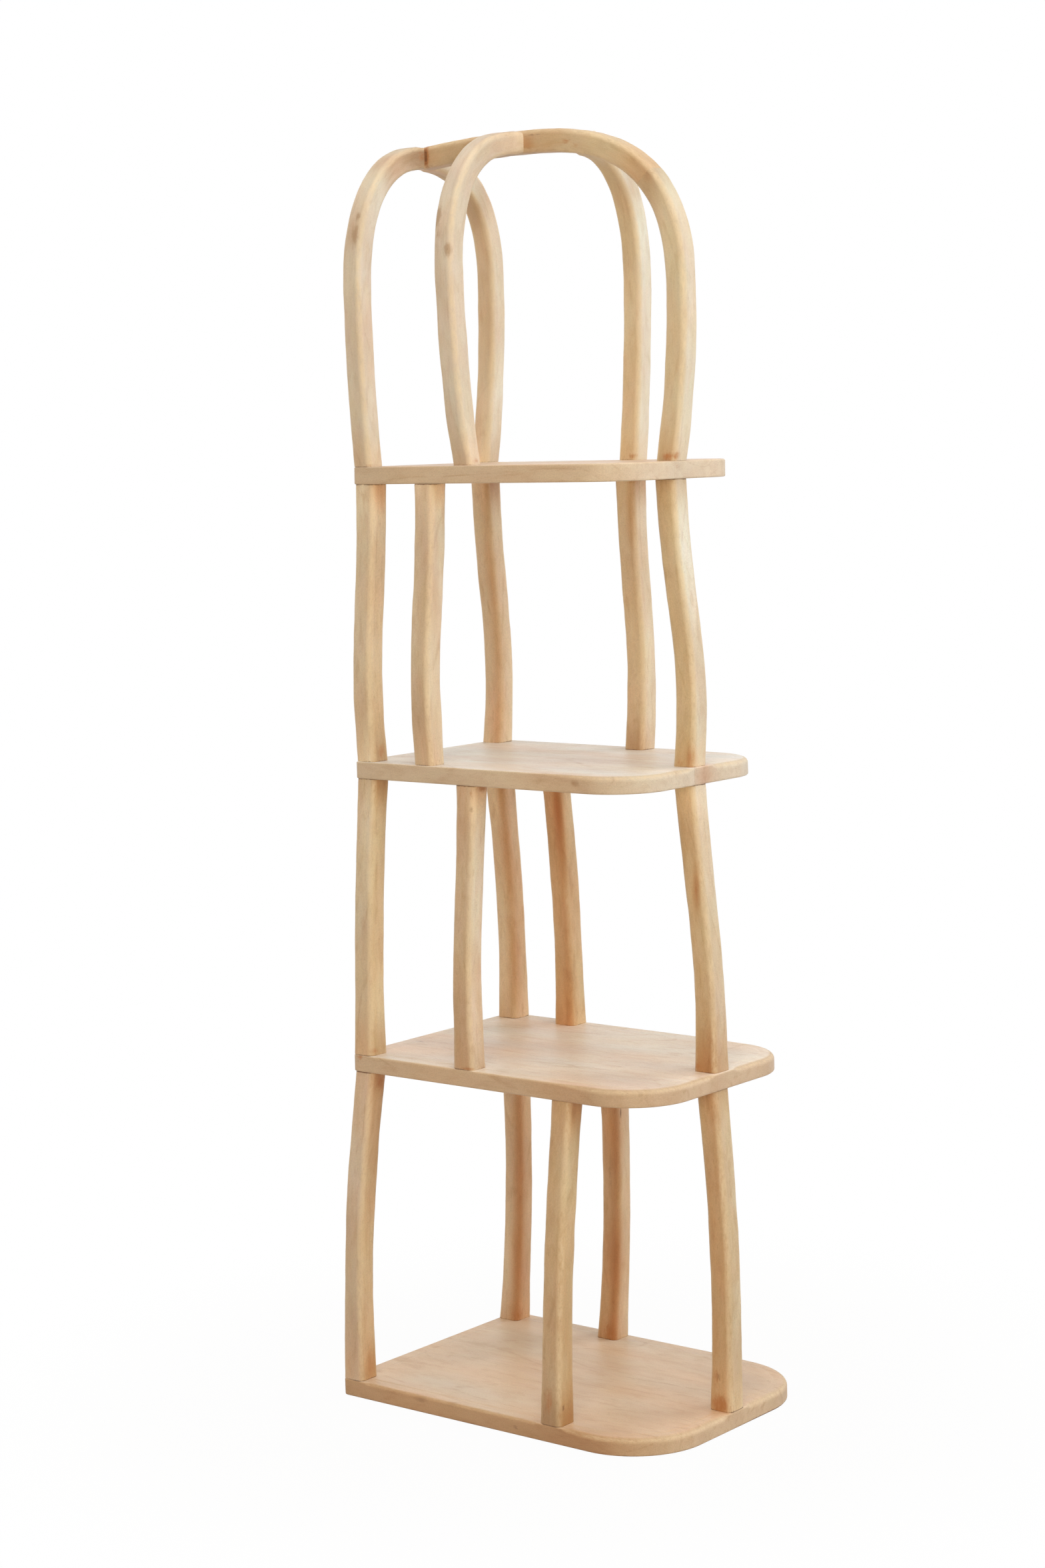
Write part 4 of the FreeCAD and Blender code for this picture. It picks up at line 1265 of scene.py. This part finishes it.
PAD_INSET = 34.0
PAD_STEPS = 48
PAD_PROFILE = ((13.4, 0.0), (13.9, 0.25), (14.0, 0.7), (14.0, 1.4), (13.8, 1.85), (13.4, 2.0))
Plain = namedtuple("Plain", "grain dark light roughness height relief")
FELT = Plain(Grain(2600, 2600, 3, 0.7, 0.0), colour(92, 84, 74), colour(134, 124, 110),
             0.95, 0.0004, 0.8)
PIN_WOOD = Plain(Grain(900, 40, 3, 0.5, 0.0), colour(188, 150, 106), colour(214, 182, 140),
                 0.6, 0.0002, 0.4)


def make_plain(name, plain):
    """Material of one noise between two colours, laid out by the object's own coordinates."""
    graph = Graph(bpy.data.materials.new(name))
    place = graph.node("ShaderNodeTexCoord", {}).outputs["Object"]
    fibres = graph.grain(place, plain.grain)
    base = graph.mix(fibres, plain.dark, plain.light)
    normal = graph.bump(fibres, plain.height, plain.relief)
    return graph.finish(Base_Color=base, Roughness=plain.roughness, Normal=normal)


def make_pads():
    shelf = SHELVES[0]
    reach, back, front = shelf.width / 2 - PAD_INSET, shelf.back - PAD_INSET, front_of(shelf)
    places = [(x, y) for y in (back, front + shelf.corner) for x in (-reach, reach)]
    vertices, faces = [], []
    for x, y in (*places, (0, front + PAD_INSET)):
        start = len(vertices)
        for radius, height in PAD_PROFILE:
            for step in range(PAD_STEPS):
                angle = 2 * math.pi * step / PAD_STEPS
                vertices.append((x + radius * math.cos(angle), y + radius * math.sin(angle), height))
        for face in closed_rings(len(PAD_PROFILE), PAD_STEPS):
            faces.append(tuple(start + index for index in face))
    add_piece("pads", make_plain("felt", FELT), np.array(vertices), faces, ["glides"])


def finish_pins():
    """The hidden pins keep their solids and get a plain turned finish."""
    material = make_plain("dowel_wood", PIN_WOOD)
    for name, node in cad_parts.items():
        if name.startswith("dowels"):
            node.data.materials.clear()
            node.data.materials.append(material)


# Camera, lamps and floor

# Turns of the camera in degrees, its place in millimetres, and its focal length and the photo's
# height in pixels
YAW = 51.422
PITCH = 6.69
ROLL = -1.421
CAMERA_PLACE = (-3580.0, -2774.6, 1475.8)
FOCAL_PIXELS = 4558.8
PHOTO_PIXELS = 2352
SENSOR = 36
FAR_CLIP = 100

# Area lamps: degrees round from the front to the left, degrees above level, power and tint
Lamp = namedtuple("Lamp", "name around above power tint")
LAMPS = (
    Lamp("right", -50, 13, 54, (0.81, 0.88, 1.0)),
    Lamp("front", 0, 24, 25, (0.98, 0.98, 1.0)),
    Lamp("left", 58, 6, 43, (1.0, 0.92, 0.8)),
    Lamp("high", 50, 50, 24, (0.9, 0.95, 1.0)),
    Lamp("behind", 172, 20, 31, (1.0, 0.96, 0.9)),
    Lamp("top", 0, 88, 37, (1.0, 0.99, 1.0)),
)
LAMP_DISTANCE = 3.2
LAMP_TARGET = 1.2
LAMP_SIZE = 1.8

# Light from all round, and a floor that fades into the white
SHADE_TINT = (1.0, 0.64, 0.4, 1)
SHADE_STRENGTH = 0.23
FLOOR_COLOUR = (0.6, 0.56, 0.52, 1)
FLOOR_REACH = 12.0
FADE_SPAN = (0.35, 1.1)
NEAR_GLOW = 0.97


def make_camera():
    yaw, pitch, roll = (math.radians(turn) for turn in (YAW, PITCH, ROLL))
    level_ahead = Vector((math.sin(yaw), math.cos(yaw), 0))
    ahead = level_ahead * math.cos(pitch) - Vector(UP) * math.sin(pitch)
    level = Vector((math.cos(yaw), -math.sin(yaw), 0))
    above = level.cross(ahead)
    right = math.cos(roll) * level + math.sin(roll) * above
    upward = -math.sin(roll) * level + math.cos(roll) * above
    data = bpy.data.cameras.new("camera")
    camera = add_object("camera", data)
    pose = Matrix((right, upward, -ahead)).transposed().to_4x4()
    pose.translation = Vector(CAMERA_PLACE) * MM
    camera.matrix_world = pose
    data.sensor_fit = "VERTICAL"
    data.sensor_height = SENSOR
    data.lens = FOCAL_PIXELS / PHOTO_PIXELS * SENSOR
    data.clip_end = FAR_CLIP
    bpy.context.scene.camera = camera


def background_share(graph):
    """1 for rays that should see a plain white background."""
    path = graph.node("ShaderNodeLightPath", {})
    seen = graph.math("MAXIMUM", path.outputs["Is Camera Ray"], path.outputs["Is Glossy Ray"])
    return graph.math("MAXIMUM", seen, path.outputs["Is Transmission Ray"])


def make_world():
    """White for the camera, and a weaker warm light for the wood."""
    world = bpy.data.worlds.new("studio")
    bpy.context.scene.world = world
    graph = Graph(world, "ShaderNodeOutputWorld")
    share = background_share(graph)
    inputs = {"Value": share, "To Min": SHADE_STRENGTH, "To Max": 1.0}
    strength = graph.node("ShaderNodeMapRange", inputs).outputs[0]
    inputs = {"Color": graph.mix(share, SHADE_TINT, WHITE), "Strength": strength}
    graph.link_output(graph.node("ShaderNodeBackground", inputs).outputs[0])


def make_floor():
    """A floor that takes the shadows, but shines white to the camera, more so farther out."""
    graph = Graph(bpy.data.materials.new("floor"))
    diffuse = graph.node("ShaderNodeBsdfDiffuse", {"Color": FLOOR_COLOUR}).outputs[0]
    glow = graph.node("ShaderNodeEmission", {"Color": WHITE, "Strength": 1.0}).outputs[0]
    place = graph.node("ShaderNodeTexCoord", {}).outputs["Object"]
    length = graph.node("ShaderNodeVectorMath", {0: place}, operation="LENGTH").outputs["Value"]
    far = graph.spread(length, FADE_SPAN)
    share = graph.math("MULTIPLY_ADD", far, 1 - NEAR_GLOW, NEAR_GLOW)
    share = graph.times(share, background_share(graph))
    graph.link_output(graph.node("ShaderNodeMixShader", {0: share, 1: diffuse, 2: glow}).outputs[0])
    reach = FLOOR_REACH
    corners = [(-reach, -reach, 0), (reach, -reach, 0), (reach, reach, 0), (-reach, reach, 0)]
    mesh = bpy.data.meshes.new("floor")
    mesh.from_pydata(corners, [], [(0, 1, 2, 3)])
    mesh.materials.append(graph.owner)
    add_object("floor", mesh)


def make_lamps():
    """Soft lamps round the unit. They stay out of reflections, which keeps the shelf tops matt."""
    target = Vector((0, 0, LAMP_TARGET))
    for row in LAMPS:
        around, above = math.radians(row.around), math.radians(row.above)
        level = LAMP_DISTANCE * math.cos(above)
        place = Vector((-level * math.sin(around), -level * math.cos(around),
                        LAMP_TARGET + LAMP_DISTANCE * math.sin(above)))
        data = bpy.data.lights.new(row.name, "AREA")
        data.shape = "RECTANGLE"
        data.size = data.size_y = LAMP_SIZE
        data.energy = row.power
        data.color = row.tint
        lamp = add_object(row.name, data)
        lamp.location = place
        lamp.visible_glossy = False
        lamp.rotation_euler = (target - place).to_track_quat("-Z", "Y").to_euler()


make_shelves()
make_posts()
make_crown()
make_pads()
finish_pins()
make_camera()
make_world()
make_floor()
make_lamps()
bpy.context.scene.view_settings.view_transform = "Standard"
